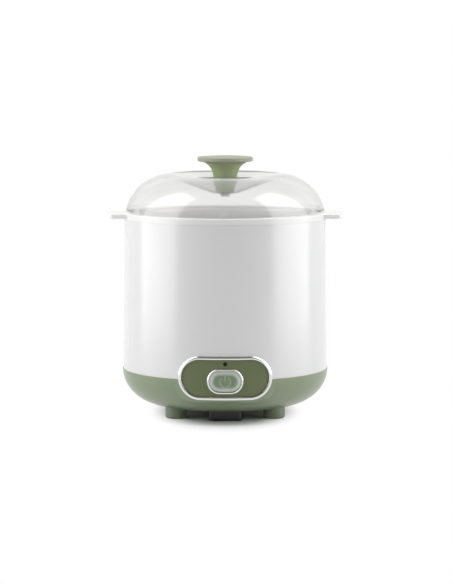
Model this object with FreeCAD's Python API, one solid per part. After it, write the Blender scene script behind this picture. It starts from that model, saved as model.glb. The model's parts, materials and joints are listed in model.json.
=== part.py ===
import FreeCAD, Part
import math
import os

Vector = FreeCAD.Vector

# A tabletop yogurt maker: heated round housing, lift-out tub, clear domed lid.
# Millimetres. Z is up, the table is Z = 0, the housing stands on the Z axis and its
# control panel faces -Y.

# Fits
FIT = 0.15
SLIDE_FIT = 0.3

# Base and feet
BASE_RADIUS = 87.0
BASE_RISE = 30.5
BASE_ROUND_WIDTH = 34.5
BASE_WALL = 2.4
SEAM_LIP_HEIGHT = 4.0
SEAM_LIP_WALL = 1.6
FOOT_HEIGHT = 7.2
FOOT_RADIUS = 9.0
FOOT_ROUND = 2.0
FOOT_PITCH = 82.0
FOOT_RECESS_RADIUS = 4.4
FOOT_RECESS_DEPTH = 3.6
FOOT_CORNERS = {
    "front_left": (-1, -1),
    "front_right": (1, -1),
    "rear_left": (-1, 1),
    "rear_right": (1, 1),
}

# Hollow lug under the front of the base
LUG_WIDTH = 27.3
LUG_DEPTH = 10.0
LUG_FRONT = 61.0
LUG_WALL = 2.0
LUG_CORNER = 3.0
LUG_CLEARANCE = 0.6

# Base screws and their bosses
PILOT_SPARE = 1.0
SCREW_RADIUS = 1.7
SCREW_HEAD_RADIUS = 3.6
SCREW_HEAD_HEIGHT = 2.2
SCREW_BITE = 16.0
BOSS_RADIUS = 4.6
BASE_BOSS_RADIUS = 6.0
BASE_BOSS_RISE = 6.0

# Outer shell
SEAM_STEP = 0.6
SHELL_TAPER = 1.2
SHELL_HEIGHT = 125.9
SHELL_WALL = 2.2

# Inner well
WELL_FLANGE = 1.4
WELL_GAP = 1.8
WELL_WALL = 2.0
WELL_DRAFT = 3.0
WELL_CORNER = 8.0
WELL_LIP_HEIGHT = 3.0
BAY_CLEARANCE = 3.0

# Heater under the well floor
PLATE_OPENING_RADIUS = 46.0
PLATE_RIM = 5.0
PLATE_RIM_THICKNESS = 1.6
PLATE_PROUD = 0.3
SEAL_THICKNESS = 0.8
ELEMENT_INNER_RADIUS = 19.0
ELEMENT_OUTER_RADIUS = 40.0
ELEMENT_THICKNESS = 2.4
TAB_WIDTH = 5.0
TAB_THICKNESS = 0.8
TAB_LENGTH = 9.0
TAB_X = 10.0
TAB_Y = 30.0
COVER_THICKNESS = 1.0
COVER_HOLE_RADIUS = 11.0
COVER_DISH_GAP = 0.6
COVER_EAR_WIDTH = 9.0
COVER_SCREW_OFFSET = 5.0
COVER_BOSS_RADIUS = 3.2
SMALL_SCREW_RADIUS = 1.3
SMALL_HEAD_RADIUS = 2.6
SMALL_HEAD_HEIGHT = 1.7

# Thermostat and thermal fuse
THERMOSTAT_RADIUS = 7.8
THERMOSTAT_HEIGHT = 13.0
THERMOSTAT_FLANGE_LENGTH = 36.0
THERMOSTAT_FLANGE_WIDTH = 8.0
THERMOSTAT_FLANGE = 0.8
THERMOSTAT_SCREW_X = 14.5
THERMOSTAT_BLADE_X = 4.5
FUSE_RADIUS = 2.0
FUSE_LENGTH = 14.0
FUSE_Y = -27.0
CLIP_THICKNESS = 0.8
CLIP_WIDTH = 7.0
CLIP_REACH = 7.0

# Control panel and its bezel
PANEL_WIDTH = 72.0
PANEL_HEIGHT = 30.4
PANEL_RISE = 1.7
PANEL_WALL = 2.0
PANEL_RECESS = 1.5
PANEL_SKIRT_DEPTH = 9.5
PANEL_SKIRT_WALL = 1.0
BEZEL_WIDTH = 3.0
BEZEL_PROUD = 1.5
BEZEL_SPIGOT = 1.4
BEZEL_ROUND = 0.9
POD_LAND = 0.6
POD_FLARE = 4.0
POD_DEPTH = 12.0
HOOK_WIDTH = 8.0
HOOK_X = 16.0
HOOK_GRIP = 1.2
HOOK_DEPTH = 2.2

# Power button, its ring and the switch
BUTTON_WIDTH = 26.4
BUTTON_HEIGHT = 17.3
BUTTON_DROP = 2.4
BUTTON_TRAVEL = 3.0
BUTTON_BEVEL = 3.2
BUTTON_BEVEL_DEPTH = 1.3
BUTTON_CAP = 4.0
BUTTON_SKIRT = 1.5
BUTTON_SKIRT_DEPTH = 2.0
BUTTON_STEM = 7.0
RING_RIM = 1.6
RING_SPIGOT = 0.8
RING_PROUD = 1.4
PLUNGER_WIDTH = 4.4
PLUNGER_LENGTH = 7.0
SWITCH_WIDTH = 13.0
SWITCH_DEPTH = 13.4
SWITCH_STANDOFF = 3.6

# Control board and lamp
BOARD_WIDTH = 54.0
BOARD_THICKNESS = 1.6
BOARD_DROP = 14.0
BOARD_MARGIN = 2.6
BOARD_SCREW_X = 22.0
BOARD_BOSS_RADIUS = 3.0
BOARD_SCREW_BITE = 10.0
LENS_RADIUS = 1.6
LENS_SINK = 0.4
LENS_FLANGE_RADIUS = 2.1
LENS_FLANGE = 1.6
LAMP_RADIUS = 1.9
LAMP_LENGTH = 5.7

# Terminal block and cord gland
TERMINAL_LENGTH = 36.0
TERMINAL_DEPTH = 14.0
TERMINAL_HEIGHT = 12.0
TERMINAL_Y = 45.0
TERMINAL_PITCH = 7.0
TERMINAL_ENTRY_RADIUS = 1.6
TERMINAL_ENTRY_DEPTH = 6.0
TERMINAL_SCREW_X = 14.5
TERMINAL_POST_RADIUS = 3.5
TERMINAL_POST_RISE = 2.0
TERMINAL_SCREW_BITE = 3.0
GLAND_HEIGHT = 25.5
GLAND_BOSS_RADIUS = 9.0
GLAND_RADIUS = 5.2
GLAND_FLANGE_RADIUS = 7.5
GLAND_INNER_FLANGE = 1.6
GLAND_TIP_RADIUS = 5.8
GLAND_BORE_RADIUS = 3.3

# Inside wires
WIRE_RADIUS = 1.1
WIRE_BEND_SHARE = 0.45
WIRE_LANE_X = 22.0
WIRE_LANE_RISE = 5.4
WIRE_LEAD = 10.0
WIRE_PIN_DROP = 6.0
WIRE_PIN_X = 5.0

# Yogurt bowl
BOWL_GAP = 1.6
BOWL_WALL = 2.0
BOWL_CORNER = 10.0
BOWL_PLATE_GAP = 0.6
BOWL_RIM_OVERHANG = 0.2
BOWL_RIM_HEIGHT = 5.2
BOWL_RIM_WALL = 2.4
BOWL_RIM_FLOOR = 2.2
BOWL_RIM_ROUND = 0.8
EAR_LENGTH = 14.6
EAR_HALF_WIDTH = 22.0
EAR_THICKNESS = 3.6
EAR_DROP = 1.2
EAR_CORNER = 5.5
EAR_SKIN = 1.6
EAR_ROUND = 0.7

# Dome lid
LID_INSET = 1.1
LID_WALL = 2.0
DOME_RISE = 31.8
DOME_ARC = 39.0
CREST_ROUND = 3.0
FUNNEL_DEPTH = 13.2
FUNNEL_FLOOR_RADIUS = 10.0
FUNNEL_ROUND = 4.0
LID_LIP_DEPTH = 2.0
LID_LIP_WALL = 1.8
LID_LIP_FIT = 0.4
LID_LIP_RISE = 4.0
NOTCH_WIDTH = 8.5
NOTCH_HEIGHT = 4.0
NOTCH_DEPTH = 0.9

# Lid knob and its screw
KNOB_FOOT_RADIUS = 7.5
KNOB_NECK_RADIUS = 10.9
KNOB_NECK_HEIGHT = 14.7
KNOB_RADIUS = 23.8
KNOB_FLARE_HEIGHT = 9.2
KNOB_EDGE = 2.3
KNOB_EDGE_ROUND = 1.0
KNOB_CROWN = 2.3
KNOB_SCREW_RADIUS = 1.6
KNOB_SCREW_HEAD_RADIUS = 3.8
KNOB_SCREW_HEAD_HEIGHT = 2.2
KNOB_SCREW_LENGTH = 14.0
WASHER_RADIUS = 6.0
WASHER_THICKNESS = 1.0

# Heights that follow from the sizes above
seam_z = FOOT_HEIGHT + BASE_RISE
shell_top = seam_z + SHELL_HEIGHT
well_top = shell_top + WELL_FLANGE
rim_top = well_top + BOWL_RIM_HEIGHT
crest_z = rim_top + DOME_RISE
knob_seat = crest_z - FUNNEL_DEPTH
base_floor = FOOT_HEIGHT + BASE_WALL
panel_mid = seam_z + PANEL_RISE
button_mid = panel_mid - BUTTON_DROP
led_z = panel_mid + PANEL_HEIGHT / 2 - PANEL_SKIRT_WALL - LENS_FLANGE_RADIUS - 2 * FIT
cutout_grow = BEZEL_SPIGOT + FIT
well_floor_under = panel_mid + PANEL_HEIGHT / 2 + cutout_grow + BAY_CLEARANCE
well_floor = well_floor_under + WELL_WALL
plate_rim_top = well_floor_under - SEAL_THICKNESS
plate_under = plate_rim_top - PLATE_RIM_THICKNESS
plate_top = well_floor + PLATE_PROUD
element_under = plate_under - ELEMENT_THICKNESS
cover_under = element_under - COVER_THICKNESS
thermostat_flange_under = cover_under - THERMOSTAT_FLANGE
thermostat_under = thermostat_flange_under - THERMOSTAT_HEIGHT
fuse_z = cover_under - FUSE_RADIUS
boss_foot = base_floor + BASE_BOSS_RISE
screw_seat = FOOT_RECESS_DEPTH
terminal_under = base_floor + TERMINAL_POST_RISE
terminal_mid = terminal_under + TERMINAL_HEIGHT / 2

# Radii that follow
shell_foot_radius = BASE_RADIUS - SEAM_STEP
shell_top_radius = shell_foot_radius - SHELL_TAPER
well_top_radius = shell_top_radius - SHELL_WALL - WELL_GAP - WELL_WALL
well_floor_radius = well_top_radius - WELL_DRAFT
plate_radius = PLATE_OPENING_RADIUS + PLATE_RIM
cover_screw_radius = plate_radius + COVER_SCREW_OFFSET
rim_radius = shell_top_radius + BOWL_RIM_OVERHANG
ear_reach = rim_radius + EAR_LENGTH
lid_edge_radius = rim_radius - LID_INSET
bezel_face = BASE_RADIUS + BEZEL_PROUD
panel_face = bezel_face - PANEL_RECESS
panel_back = panel_face - PANEL_WALL
ring_face = panel_face + RING_PROUD
button_face = ring_face - FIT

# Places along Y, front to back, behind the button
stem_end = -(panel_back - SLIDE_FIT - BUTTON_SKIRT_DEPTH) + BUTTON_TRAVEL
switch_front = stem_end + SWITCH_STANDOFF
board_front = switch_front + SWITCH_DEPTH
board_back = board_front + BOARD_THICKNESS
plunger_end = stem_end + PLUNGER_LENGTH
terminal_front = TERMINAL_Y - TERMINAL_DEPTH / 2
board_low = button_mid - BOARD_DROP
board_high = led_z + BOARD_MARGIN
pin_z = button_mid - WIRE_PIN_DROP
lane_z = base_floor + WIRE_LANE_RISE


def base_radius_at(z, inset):
    """Radius of the base's round wall at a height, moved in by a wall thickness."""
    flat = BASE_RADIUS - BASE_ROUND_WIDTH
    share = (seam_z - z) / (BASE_RISE - inset)
    return flat + (BASE_ROUND_WIDTH - inset) * math.sqrt(1 - share ** 2)


gland_boss_front = base_radius_at(GLAND_HEIGHT - GLAND_FLANGE_RADIUS, BASE_WALL) - SLIDE_FIT
gland_boss_back = base_radius_at(GLAND_HEIGHT, 0)


class Outline:
    """A closed outline in the half plane of radius and height, turned about Z."""

    def __init__(self, radius, height):
        self.start = Vector(radius, 0, height)
        self.here = self.start
        self.edges = []

    def line(self, radius, height):
        there = Vector(radius, 0, height)
        self.edges.append(Part.LineSegment(self.here, there).toShape())
        self.here = there
        return self

    def arc(self, centre, start_deg, end_deg, arc_radius):
        """Circular arc about centre, between two angles from the outward direction."""
        middle = polar(centre, arc_radius, (start_deg + end_deg) / 2)
        there = polar(centre, arc_radius, end_deg)
        self.edges.append(Part.Arc(self.here, middle, there).toShape())
        self.here = there
        return self

    def quarter(self, corner, end):
        """Elliptic quarter that leaves towards the corner and arrives from it."""
        curve = Part.BezierCurve()
        there = Vector(end[0], 0, end[1])
        curve.setPoles([self.here, Vector(corner[0], 0, corner[1]), there])
        curve.setWeight(2, math.sqrt(0.5))
        self.edges.append(curve.toShape())
        self.here = there
        return self

    def turned(self):
        self.line(self.start.x, self.start.z)
        face = Part.Face(Part.Wire(self.edges))
        return face.revolve(Vector(0, 0, 0), Vector(0, 0, 1), 360)


def polar(centre, radius, degrees):
    angle = math.radians(degrees)
    return Vector(centre[0] + radius * math.cos(angle), 0, centre[1] + radius * math.sin(angle))


def post(radius, z_low, z_high, x=0.0, y=0.0):
    return Part.makeCylinder(radius, z_high - z_low, Vector(x, y, z_low))


def rod(radius, y_front, y_back, x=0.0, z=0.0):
    return Part.makeCylinder(radius, y_back - y_front, Vector(x, y_front, z), Vector(0, 1, 0))


def tube(inner, outer, z_low, z_high):
    return post(outer, z_low, z_high).cut(post(inner, z_low, z_high))


def block(x_low, x_high, y_low, y_high, z_low, z_high):
    corner = Vector(x_low, y_low, z_low)
    return Part.makeBox(x_high - x_low, y_high - y_low, z_high - z_low, corner)


def stadium_wire(width, height, z_mid, y):
    """Outline with two straight sides and two round ends, standing across Y."""
    end = height / 2
    flat = width / 2 - end
    top_left = Vector(-flat, y, z_mid + end)
    top_right = Vector(flat, y, z_mid + end)
    low_right = Vector(flat, y, z_mid - end)
    low_left = Vector(-flat, y, z_mid - end)
    right = Vector(flat + end, y, z_mid)
    left = Vector(-flat - end, y, z_mid)
    return Part.Wire([
        Part.LineSegment(top_left, top_right).toShape(),
        Part.Arc(top_right, right, low_right).toShape(),
        Part.LineSegment(low_right, low_left).toShape(),
        Part.Arc(low_left, left, top_left).toShape(),
    ])


def stadium(width, height, z_mid, y_front, y_back):
    face = Part.Face(stadium_wire(width, height, z_mid, y_front))
    return face.extrude(Vector(0, y_back - y_front, 0))


def panel_prism(grow):
    """The panel's outline, grown on all sides, as a bar through the front of the housing."""
    front = -(bezel_face + BEZEL_WIDTH)
    back = -(BASE_RADIUS - BASE_ROUND_WIDTH)
    return stadium(PANEL_WIDTH + 2 * grow, PANEL_HEIGHT + 2 * grow, panel_mid, front, back)


def button_prism(grow):
    front = -(bezel_face + BEZEL_WIDTH)
    back = -(BASE_RADIUS - BASE_ROUND_WIDTH)
    return stadium(BUTTON_WIDTH + 2 * grow, BUTTON_HEIGHT + 2 * grow, button_mid, front, back)


def within(shape, inner, outer):
    """The part of a shape that lies between two radii about the housing's axis."""
    return shape.common(tube(inner, outer, 0, shell_top))


def edge_samples(edge):
    first, last = edge.ParameterRange
    return [edge.valueAt(first), edge.valueAt((first + last) / 2), edge.valueAt(last)]


def edges_at_radius(shape, radius):
    """Edges that run at one distance from the housing's axis."""
    picked = []
    for edge in shape.Edges:
        if all(abs(math.hypot(p.x, p.y) - radius) < FIT / 10 for p in edge_samples(edge)):
            picked.append(edge)
    return picked


def edges_at_height(shape, z):
    picked = []
    for edge in shape.Edges:
        if all(abs(p.z - z) < FIT / 10 for p in edge_samples(edge)):
            picked.append(edge)
    return picked


def foot_places():
    half = FOOT_PITCH / 2
    return {name: (half * sx, half * sy) for name, (sx, sy) in FOOT_CORNERS.items()}


def cover_screw_places():
    places = []
    for quarter in range(4):
        angle = math.radians(90 * quarter)
        places.append((cover_screw_radius * math.cos(angle), cover_screw_radius * math.sin(angle)))
    return places


def screw_up(x, y, seat, bite_to, shank, head_radius, head_height):
    """A screw driven upwards, its head under the seat."""
    head = post(head_radius, seat - head_height, seat, x, y)
    return head.fuse(post(shank, seat - head_height / 2, bite_to, x, y)).removeSplitter()


# Base

def base_envelope(inset):
    """The base's outer form as a filled body, moved in by a wall thickness."""
    flat = BASE_RADIUS - BASE_ROUND_WIDTH
    rim = BASE_RADIUS - inset
    floor = FOOT_HEIGHT + inset
    outline = Outline(0, floor).line(flat, floor).quarter((rim, floor), (rim, seam_z))
    return outline.line(0, seam_z).turned()


def seam_lip():
    """Tongue inside the seam that centres the outer shell on the base."""
    outer = shell_foot_radius - SHELL_WALL - FIT
    inner = outer - SEAM_LIP_WALL
    root = BASE_RADIUS - BASE_WALL / 2
    outline = Outline(inner, seam_z - SEAM_LIP_HEIGHT).line(root, seam_z - SEAM_LIP_HEIGHT)
    outline.line(root, seam_z).line(outer, seam_z).line(outer, seam_z + SEAM_LIP_HEIGHT)
    return outline.line(inner, seam_z + SEAM_LIP_HEIGHT).turned()


def control_pod():
    """Collar that carries the lower half of the panel bezel out of the round base."""
    land = BEZEL_WIDTH + POD_LAND
    root = land + POD_FLARE
    front = stadium_wire(PANEL_WIDTH + 2 * land, PANEL_HEIGHT + 2 * land, panel_mid, -bezel_face)
    back = stadium_wire(
        PANEL_WIDTH + 2 * root, PANEL_HEIGHT + 2 * root, panel_mid, -(bezel_face - POD_DEPTH))
    cone = Part.makeLoft([back, front], True, True)
    return cone.common(post(BASE_RADIUS, 0, seam_z)).cut(base_envelope(BASE_WALL))


def front_lug():
    """Hollow lug under the front of the base, midway between the feet and just clear of the table."""
    half = LUG_WIDTH / 2
    back = LUG_DEPTH - LUG_FRONT
    lug = block(-half, half, -LUG_FRONT, back, LUG_CLEARANCE, seam_z)
    corners = [edge for edge in lug.Edges if edge.BoundBox.ZLength > LUG_CLEARANCE]
    lug = lug.makeFillet(LUG_CORNER, corners).cut(base_envelope(BASE_WALL / 2))
    pocket = block(LUG_WALL - half, half - LUG_WALL, LUG_WALL - LUG_FRONT, back - LUG_WALL,
                   LUG_CLEARANCE, seam_z)
    return lug.cut(pocket.cut(base_envelope(0)))


def base_shell():
    body = base_envelope(0).cut(base_envelope(BASE_WALL)).fuse(control_pod()).fuse(seam_lip())
    body = body.fuse(front_lug())
    for x, y in foot_places().values():
        boss = post(BASE_BOSS_RADIUS, FOOT_HEIGHT, boss_foot, x, y)
        body = body.fuse(boss.common(base_envelope(0)))
    for side in (-1, 1):
        x = side * TERMINAL_SCREW_X
        body = body.fuse(post(TERMINAL_POST_RADIUS, FOOT_HEIGHT, terminal_under, x, TERMINAL_Y))
    body = body.fuse(rod(GLAND_BOSS_RADIUS, gland_boss_front, gland_boss_back, 0, GLAND_HEIGHT))
    body = body.cut(panel_prism(cutout_grow))
    for x, y in foot_places().values():
        body = body.cut(post(SCREW_RADIUS + FIT, 0, boss_foot, x, y))
    for side in (-1, 1):
        low = terminal_under - TERMINAL_SCREW_BITE - FIT
        x = side * TERMINAL_SCREW_X
        body = body.cut(post(SMALL_SCREW_RADIUS, low, terminal_under, x, TERMINAL_Y))
    body = body.cut(rod(GLAND_RADIUS + FIT, gland_boss_front, gland_boss_back, 0, GLAND_HEIGHT))
    seat = rod(GLAND_FLANGE_RADIUS + SLIDE_FIT, gland_boss_back, bezel_face, 0, GLAND_HEIGHT)
    return body.cut(seat).removeSplitter()


def foot(x, y):
    """Round foot whose top follows the base; the screw head sits up inside it."""
    body = post(FOOT_RADIUS, 0, base_floor + BASE_WALL, x, y)
    body = body.makeFillet(FOOT_ROUND, edges_at_height(body, 0)).cut(base_envelope(0))
    body = body.cut(post(FOOT_RECESS_RADIUS, 0, FOOT_RECESS_DEPTH, x, y))
    return body.cut(post(SCREW_RADIUS + FIT, 0, base_floor, x, y))


def base_screws():
    bite_to = boss_foot + SCREW_BITE
    screws = []
    for x, y in foot_places().values():
        screws.append(screw_up(
            x, y, screw_seat, bite_to, SCREW_RADIUS, SCREW_HEAD_RADIUS, SCREW_HEAD_HEIGHT))
    return Part.makeCompound(screws)


# Outer shell

def shell_envelope(inset):
    outline = Outline(0, seam_z).line(shell_foot_radius - inset, seam_z)
    return outline.line(shell_top_radius - inset, shell_top).line(0, shell_top).turned()


def outer_shell():
    wall = shell_envelope(0).cut(shell_envelope(SHELL_WALL))
    return wall.cut(panel_prism(cutout_grow)).removeSplitter()


# Inner well and heater

def well_cup():
    flange = shell_top_radius
    lip = shell_top_radius - SHELL_WALL - FIT
    bend = well_floor_radius - WELL_CORNER
    bend_z = well_floor + WELL_CORNER
    outline = Outline(0, well_floor).line(bend, well_floor)
    outline.arc((bend, bend_z), -90, 0, WELL_CORNER).line(well_top_radius, well_top)
    outline.line(flange, well_top).line(flange, shell_top).line(lip, shell_top)
    outline.line(lip, shell_top - WELL_LIP_HEIGHT)
    outline.line(well_top_radius + WELL_WALL, shell_top - 2 * WELL_LIP_HEIGHT)
    outline.line(well_floor_radius + WELL_WALL, bend_z)
    outline.arc((bend, bend_z), 0, -90, WELL_CORNER + WELL_WALL).line(0, well_floor_under)
    return outline.turned()


def inner_well():
    body = well_cup().cut(post(PLATE_OPENING_RADIUS, well_floor_under, well_floor))
    for x, y in foot_places().values():
        boss = post(BOSS_RADIUS, boss_foot, well_floor_under + WELL_WALL / 2, x, y)
        pilot = post(SCREW_RADIUS, boss_foot, boss_foot + SCREW_BITE + PILOT_SPARE, x, y)
        body = body.fuse(boss).cut(pilot)
    for x, y in cover_screw_places():
        boss = post(COVER_BOSS_RADIUS, plate_under, well_floor_under + WELL_WALL / 2, x, y)
        pilot = post(SMALL_SCREW_RADIUS, plate_under, well_floor_under + WELL_WALL / 2, x, y)
        body = body.fuse(boss).cut(pilot)
    return body.removeSplitter()


def plate_seal():
    return tube(PLATE_OPENING_RADIUS + FIT, plate_radius - FIT, plate_rim_top, well_floor_under)


def heater_plate():
    raised = post(PLATE_OPENING_RADIUS - SLIDE_FIT, plate_under, plate_top)
    raised = raised.makeFillet(PLATE_PROUD * 2, edges_at_height(raised, plate_top))
    return raised.fuse(post(plate_radius, plate_under, plate_rim_top)).removeSplitter()


def element_tab(side, grow):
    x = side * TAB_X
    half_width = TAB_WIDTH / 2 + grow
    half_thick = TAB_THICKNESS / 2 + grow
    low = cover_under - TAB_LENGTH
    return block(x - half_width, x + half_width, TAB_Y - half_thick, TAB_Y + half_thick, low,
                 element_under + ELEMENT_THICKNESS / 2)


def heater_element():
    ring = tube(ELEMENT_INNER_RADIUS, ELEMENT_OUTER_RADIUS, element_under, plate_under)
    return ring.fuse(element_tab(-1, 0)).fuse(element_tab(1, 0)).removeSplitter()


def heater_cover():
    """Pressed dish: a flange under the plate's rim, and a floor that holds the element up."""
    wall = ELEMENT_OUTER_RADIUS + COVER_DISH_GAP
    outline = Outline(COVER_HOLE_RADIUS, cover_under).line(wall + COVER_THICKNESS, cover_under)
    outline.line(wall + COVER_THICKNESS, plate_under - COVER_THICKNESS)
    outline.line(plate_radius, plate_under - COVER_THICKNESS).line(plate_radius, plate_under)
    outline.line(wall, plate_under).line(wall, element_under)
    body = outline.line(COVER_HOLE_RADIUS, element_under).turned()
    half = COVER_EAR_WIDTH / 2
    reach = cover_screw_radius
    low = plate_under - COVER_THICKNESS
    ring = PLATE_OPENING_RADIUS
    body = body.fuse(block(ring, reach, -half, half, low, plate_under))
    body = body.fuse(block(-reach, -ring, -half, half, low, plate_under))
    body = body.fuse(block(-half, half, ring, reach, low, plate_under))
    body = body.fuse(block(-half, half, -reach, -ring, low, plate_under))
    for x, y in cover_screw_places():
        body = body.fuse(post(half, low, plate_under, x, y))
        body = body.cut(post(SMALL_SCREW_RADIUS + FIT, low, plate_under, x, y))
    for side in (-1, 1):
        body = body.cut(element_tab(side, COVER_DISH_GAP))
        body = body.cut(post(
            SMALL_SCREW_RADIUS, cover_under, element_under, side * THERMOSTAT_SCREW_X, 0))
    body = body.cut(post(SMALL_SCREW_RADIUS, cover_under, element_under, 0, fuse_screw_y()))
    return body.removeSplitter()


def heater_screws():
    seat = plate_under - COVER_THICKNESS
    screws = []
    for x, y in cover_screw_places():
        screws.append(screw_up(x, y, seat, well_floor_under + WELL_WALL / 3, SMALL_SCREW_RADIUS,
                               SMALL_HEAD_RADIUS, SMALL_HEAD_HEIGHT))
    return Part.makeCompound(screws)


# Thermostat and fuse

def thermostat():
    cap = post(THERMOSTAT_RADIUS, thermostat_flange_under, plate_under)
    body = cap.fuse(post(THERMOSTAT_RADIUS, thermostat_under, thermostat_flange_under))
    half_length = THERMOSTAT_FLANGE_LENGTH / 2
    half_width = THERMOSTAT_FLANGE_WIDTH / 2
    flange = block(-half_length, half_length, -half_width, half_width,
                   thermostat_flange_under, cover_under)
    body = body.fuse(flange)
    for side in (-1, 1):
        x = side * THERMOSTAT_BLADE_X
        half = TAB_WIDTH / 2
        blade = block(x - TAB_THICKNESS / 2, x + TAB_THICKNESS / 2, -half, half,
                      thermostat_under - TAB_LENGTH, thermostat_under)
        body = body.fuse(blade)
        body = body.cut(post(SMALL_SCREW_RADIUS + FIT, thermostat_flange_under, cover_under,
                             side * THERMOSTAT_SCREW_X, 0))
    return body.removeSplitter()


def thermostat_screws():
    screws = []
    for side in (-1, 1):
        screws.append(screw_up(
            side * THERMOSTAT_SCREW_X, 0, thermostat_flange_under, element_under,
            SMALL_SCREW_RADIUS, SMALL_HEAD_RADIUS, SMALL_HEAD_HEIGHT))
    return Part.makeCompound(screws)


def fuse_screw_y():
    return FUSE_Y + FUSE_RADIUS + CLIP_THICKNESS + CLIP_REACH / 2


def thermal_fuse():
    start = Vector(-FUSE_LENGTH / 2, FUSE_Y, fuse_z)
    return Part.makeCylinder(FUSE_RADIUS, FUSE_LENGTH, start, Vector(1, 0, 0))


def fuse_clip():
    """Saddle that holds the fuse up against the cover, with one screw foot."""
    half = CLIP_WIDTH / 2
    inner = FUSE_RADIUS
    outer = FUSE_RADIUS + CLIP_THICKNESS
    start = Vector(-half, FUSE_Y, fuse_z)
    along = Vector(1, 0, 0)
    saddle = Part.makeCylinder(outer, CLIP_WIDTH, start, along)
    low = fuse_z - outer
    sides = block(-half, half, FUSE_Y - outer, FUSE_Y + outer, fuse_z, cover_under)
    foot_low = cover_under - CLIP_THICKNESS
    tongue = block(-half, half, FUSE_Y, FUSE_Y + outer + CLIP_REACH, foot_low, cover_under)
    body = saddle.common(block(-half, half, FUSE_Y - outer, FUSE_Y + outer, low, fuse_z))
    body = body.fuse(sides).fuse(tongue)
    body = body.cut(Part.makeCylinder(inner, CLIP_WIDTH, start, along))
    body = body.cut(block(-half, half, FUSE_Y - inner, FUSE_Y + inner, fuse_z, cover_under))
    hole = post(SMALL_SCREW_RADIUS + FIT, foot_low, cover_under, 0, fuse_screw_y())
    return body.cut(hole).removeSplitter()


def fuse_screw():
    seat = cover_under - CLIP_THICKNESS
    return screw_up(0, fuse_screw_y(), seat, element_under, SMALL_SCREW_RADIUS,
                    SMALL_HEAD_RADIUS, SMALL_HEAD_HEIGHT)


# Control panel

def panel_bezel():
    """Bright band that stands on shell and pod, with a spigot through the wall."""
    opening = panel_prism(0)
    band = panel_prism(BEZEL_WIDTH).cut(opening)
    land = band.common(post(bezel_face, 0, shell_top)).cut(shell_envelope(0))
    land = land.cut(post(BASE_RADIUS, 0, seam_z))
    sleeve = panel_prism(BEZEL_SPIGOT).cut(opening)
    sleeve = within(sleeve, shell_top_radius - SHELL_WALL, panel_face)
    body = land.fuse(sleeve).removeSplitter()
    return body.makeFillet(BEZEL_ROUND, edges_at_radius(body, bezel_face))


def panel_hook(side, level):
    """Snap hook behind the wall, on the upper or the lower edge of the panel's skirt."""
    x = side * HOOK_X
    edge = PANEL_HEIGHT / 2 - FIT
    tip = PANEL_HEIGHT / 2 + cutout_grow + HOOK_GRIP
    if level > 0:
        catch = shell_top_radius - SHELL_WALL - SLIDE_FIT
        z_low = panel_mid + edge - PANEL_SKIRT_WALL
        z_high = panel_mid + tip
    else:
        catch = panel_back - PANEL_SKIRT_DEPTH + HOOK_DEPTH
        z_low = panel_mid - tip
        z_high = panel_mid - edge + PANEL_SKIRT_WALL
    bar = block(x - HOOK_WIDTH / 2, x + HOOK_WIDTH / 2, -BASE_RADIUS, 0, z_low, z_high)
    return within(bar, catch - HOOK_DEPTH, catch)


def board_boss(side):
    x = side * BOARD_SCREW_X
    front = -math.sqrt((panel_back + PANEL_WALL / 2) ** 2 - x ** 2)
    return rod(BOARD_BOSS_RADIUS, front, board_front, x, button_mid)


def control_panel():
    plate = within(panel_prism(-FIT), panel_back, panel_face)
    frame = panel_prism(-FIT).cut(panel_prism(-FIT - PANEL_SKIRT_WALL))
    body = plate.fuse(within(frame, panel_back - PANEL_SKIRT_DEPTH, panel_face))
    for side in (-1, 1):
        body = body.fuse(panel_hook(side, 1)).fuse(panel_hook(side, -1))
        body = body.fuse(board_boss(side))
        x = side * BOARD_SCREW_X
        deep = board_front - BOARD_SCREW_BITE - PILOT_SPARE
        body = body.cut(rod(SMALL_SCREW_RADIUS, deep, board_front, x, button_mid))
    body = body.cut(button_prism(SLIDE_FIT + RING_SPIGOT + FIT))
    body = body.cut(rod(LENS_RADIUS + FIT, -bezel_face, -panel_back + PANEL_WALL, 0, led_z))
    return body.removeSplitter()


def button_ring():
    bore = button_prism(SLIDE_FIT)
    rim = within(button_prism(SLIDE_FIT + RING_RIM).cut(bore), panel_face, ring_face)
    sleeve = within(button_prism(SLIDE_FIT + RING_SPIGOT).cut(bore), panel_back, panel_face)
    body = rim.fuse(sleeve).removeSplitter()
    return body.makeFillet(RING_RIM / 4, edges_at_radius(body, ring_face))


def power_button():
    """Bevelled cap in the ring, a skirt that keeps it in, and a stem to the switch."""
    base = stadium_wire(BUTTON_WIDTH, BUTTON_HEIGHT, button_mid, -(button_face - BUTTON_BEVEL_DEPTH))
    top = stadium_wire(BUTTON_WIDTH - 2 * BUTTON_BEVEL, BUTTON_HEIGHT - 2 * BUTTON_BEVEL, button_mid,
                       -button_face)
    bevel = Part.makeLoft([base, top], True, True)
    cap_back = -(button_face - BUTTON_CAP)
    cap = stadium(BUTTON_WIDTH, BUTTON_HEIGHT, button_mid, -(button_face - BUTTON_BEVEL_DEPTH), cap_back)
    skirt_back = -(panel_back - SLIDE_FIT - BUTTON_SKIRT_DEPTH)
    skirt = within(button_prism(BUTTON_SKIRT), panel_back - SLIDE_FIT - BUTTON_SKIRT_DEPTH,
                   panel_back - SLIDE_FIT)
    half = BUTTON_STEM / 2
    stem = block(-half, half, cap_back - FIT, stem_end, button_mid - half, button_mid + half)
    core = stadium(BUTTON_WIDTH, BUTTON_HEIGHT, button_mid, cap_back - FIT, skirt_back)
    return bevel.fuse(cap).fuse(core).fuse(skirt).fuse(stem).removeSplitter()


def switch_plunger():
    half = PLUNGER_WIDTH / 2
    return block(-half, half, stem_end, plunger_end, button_mid - half, button_mid + half)


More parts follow.
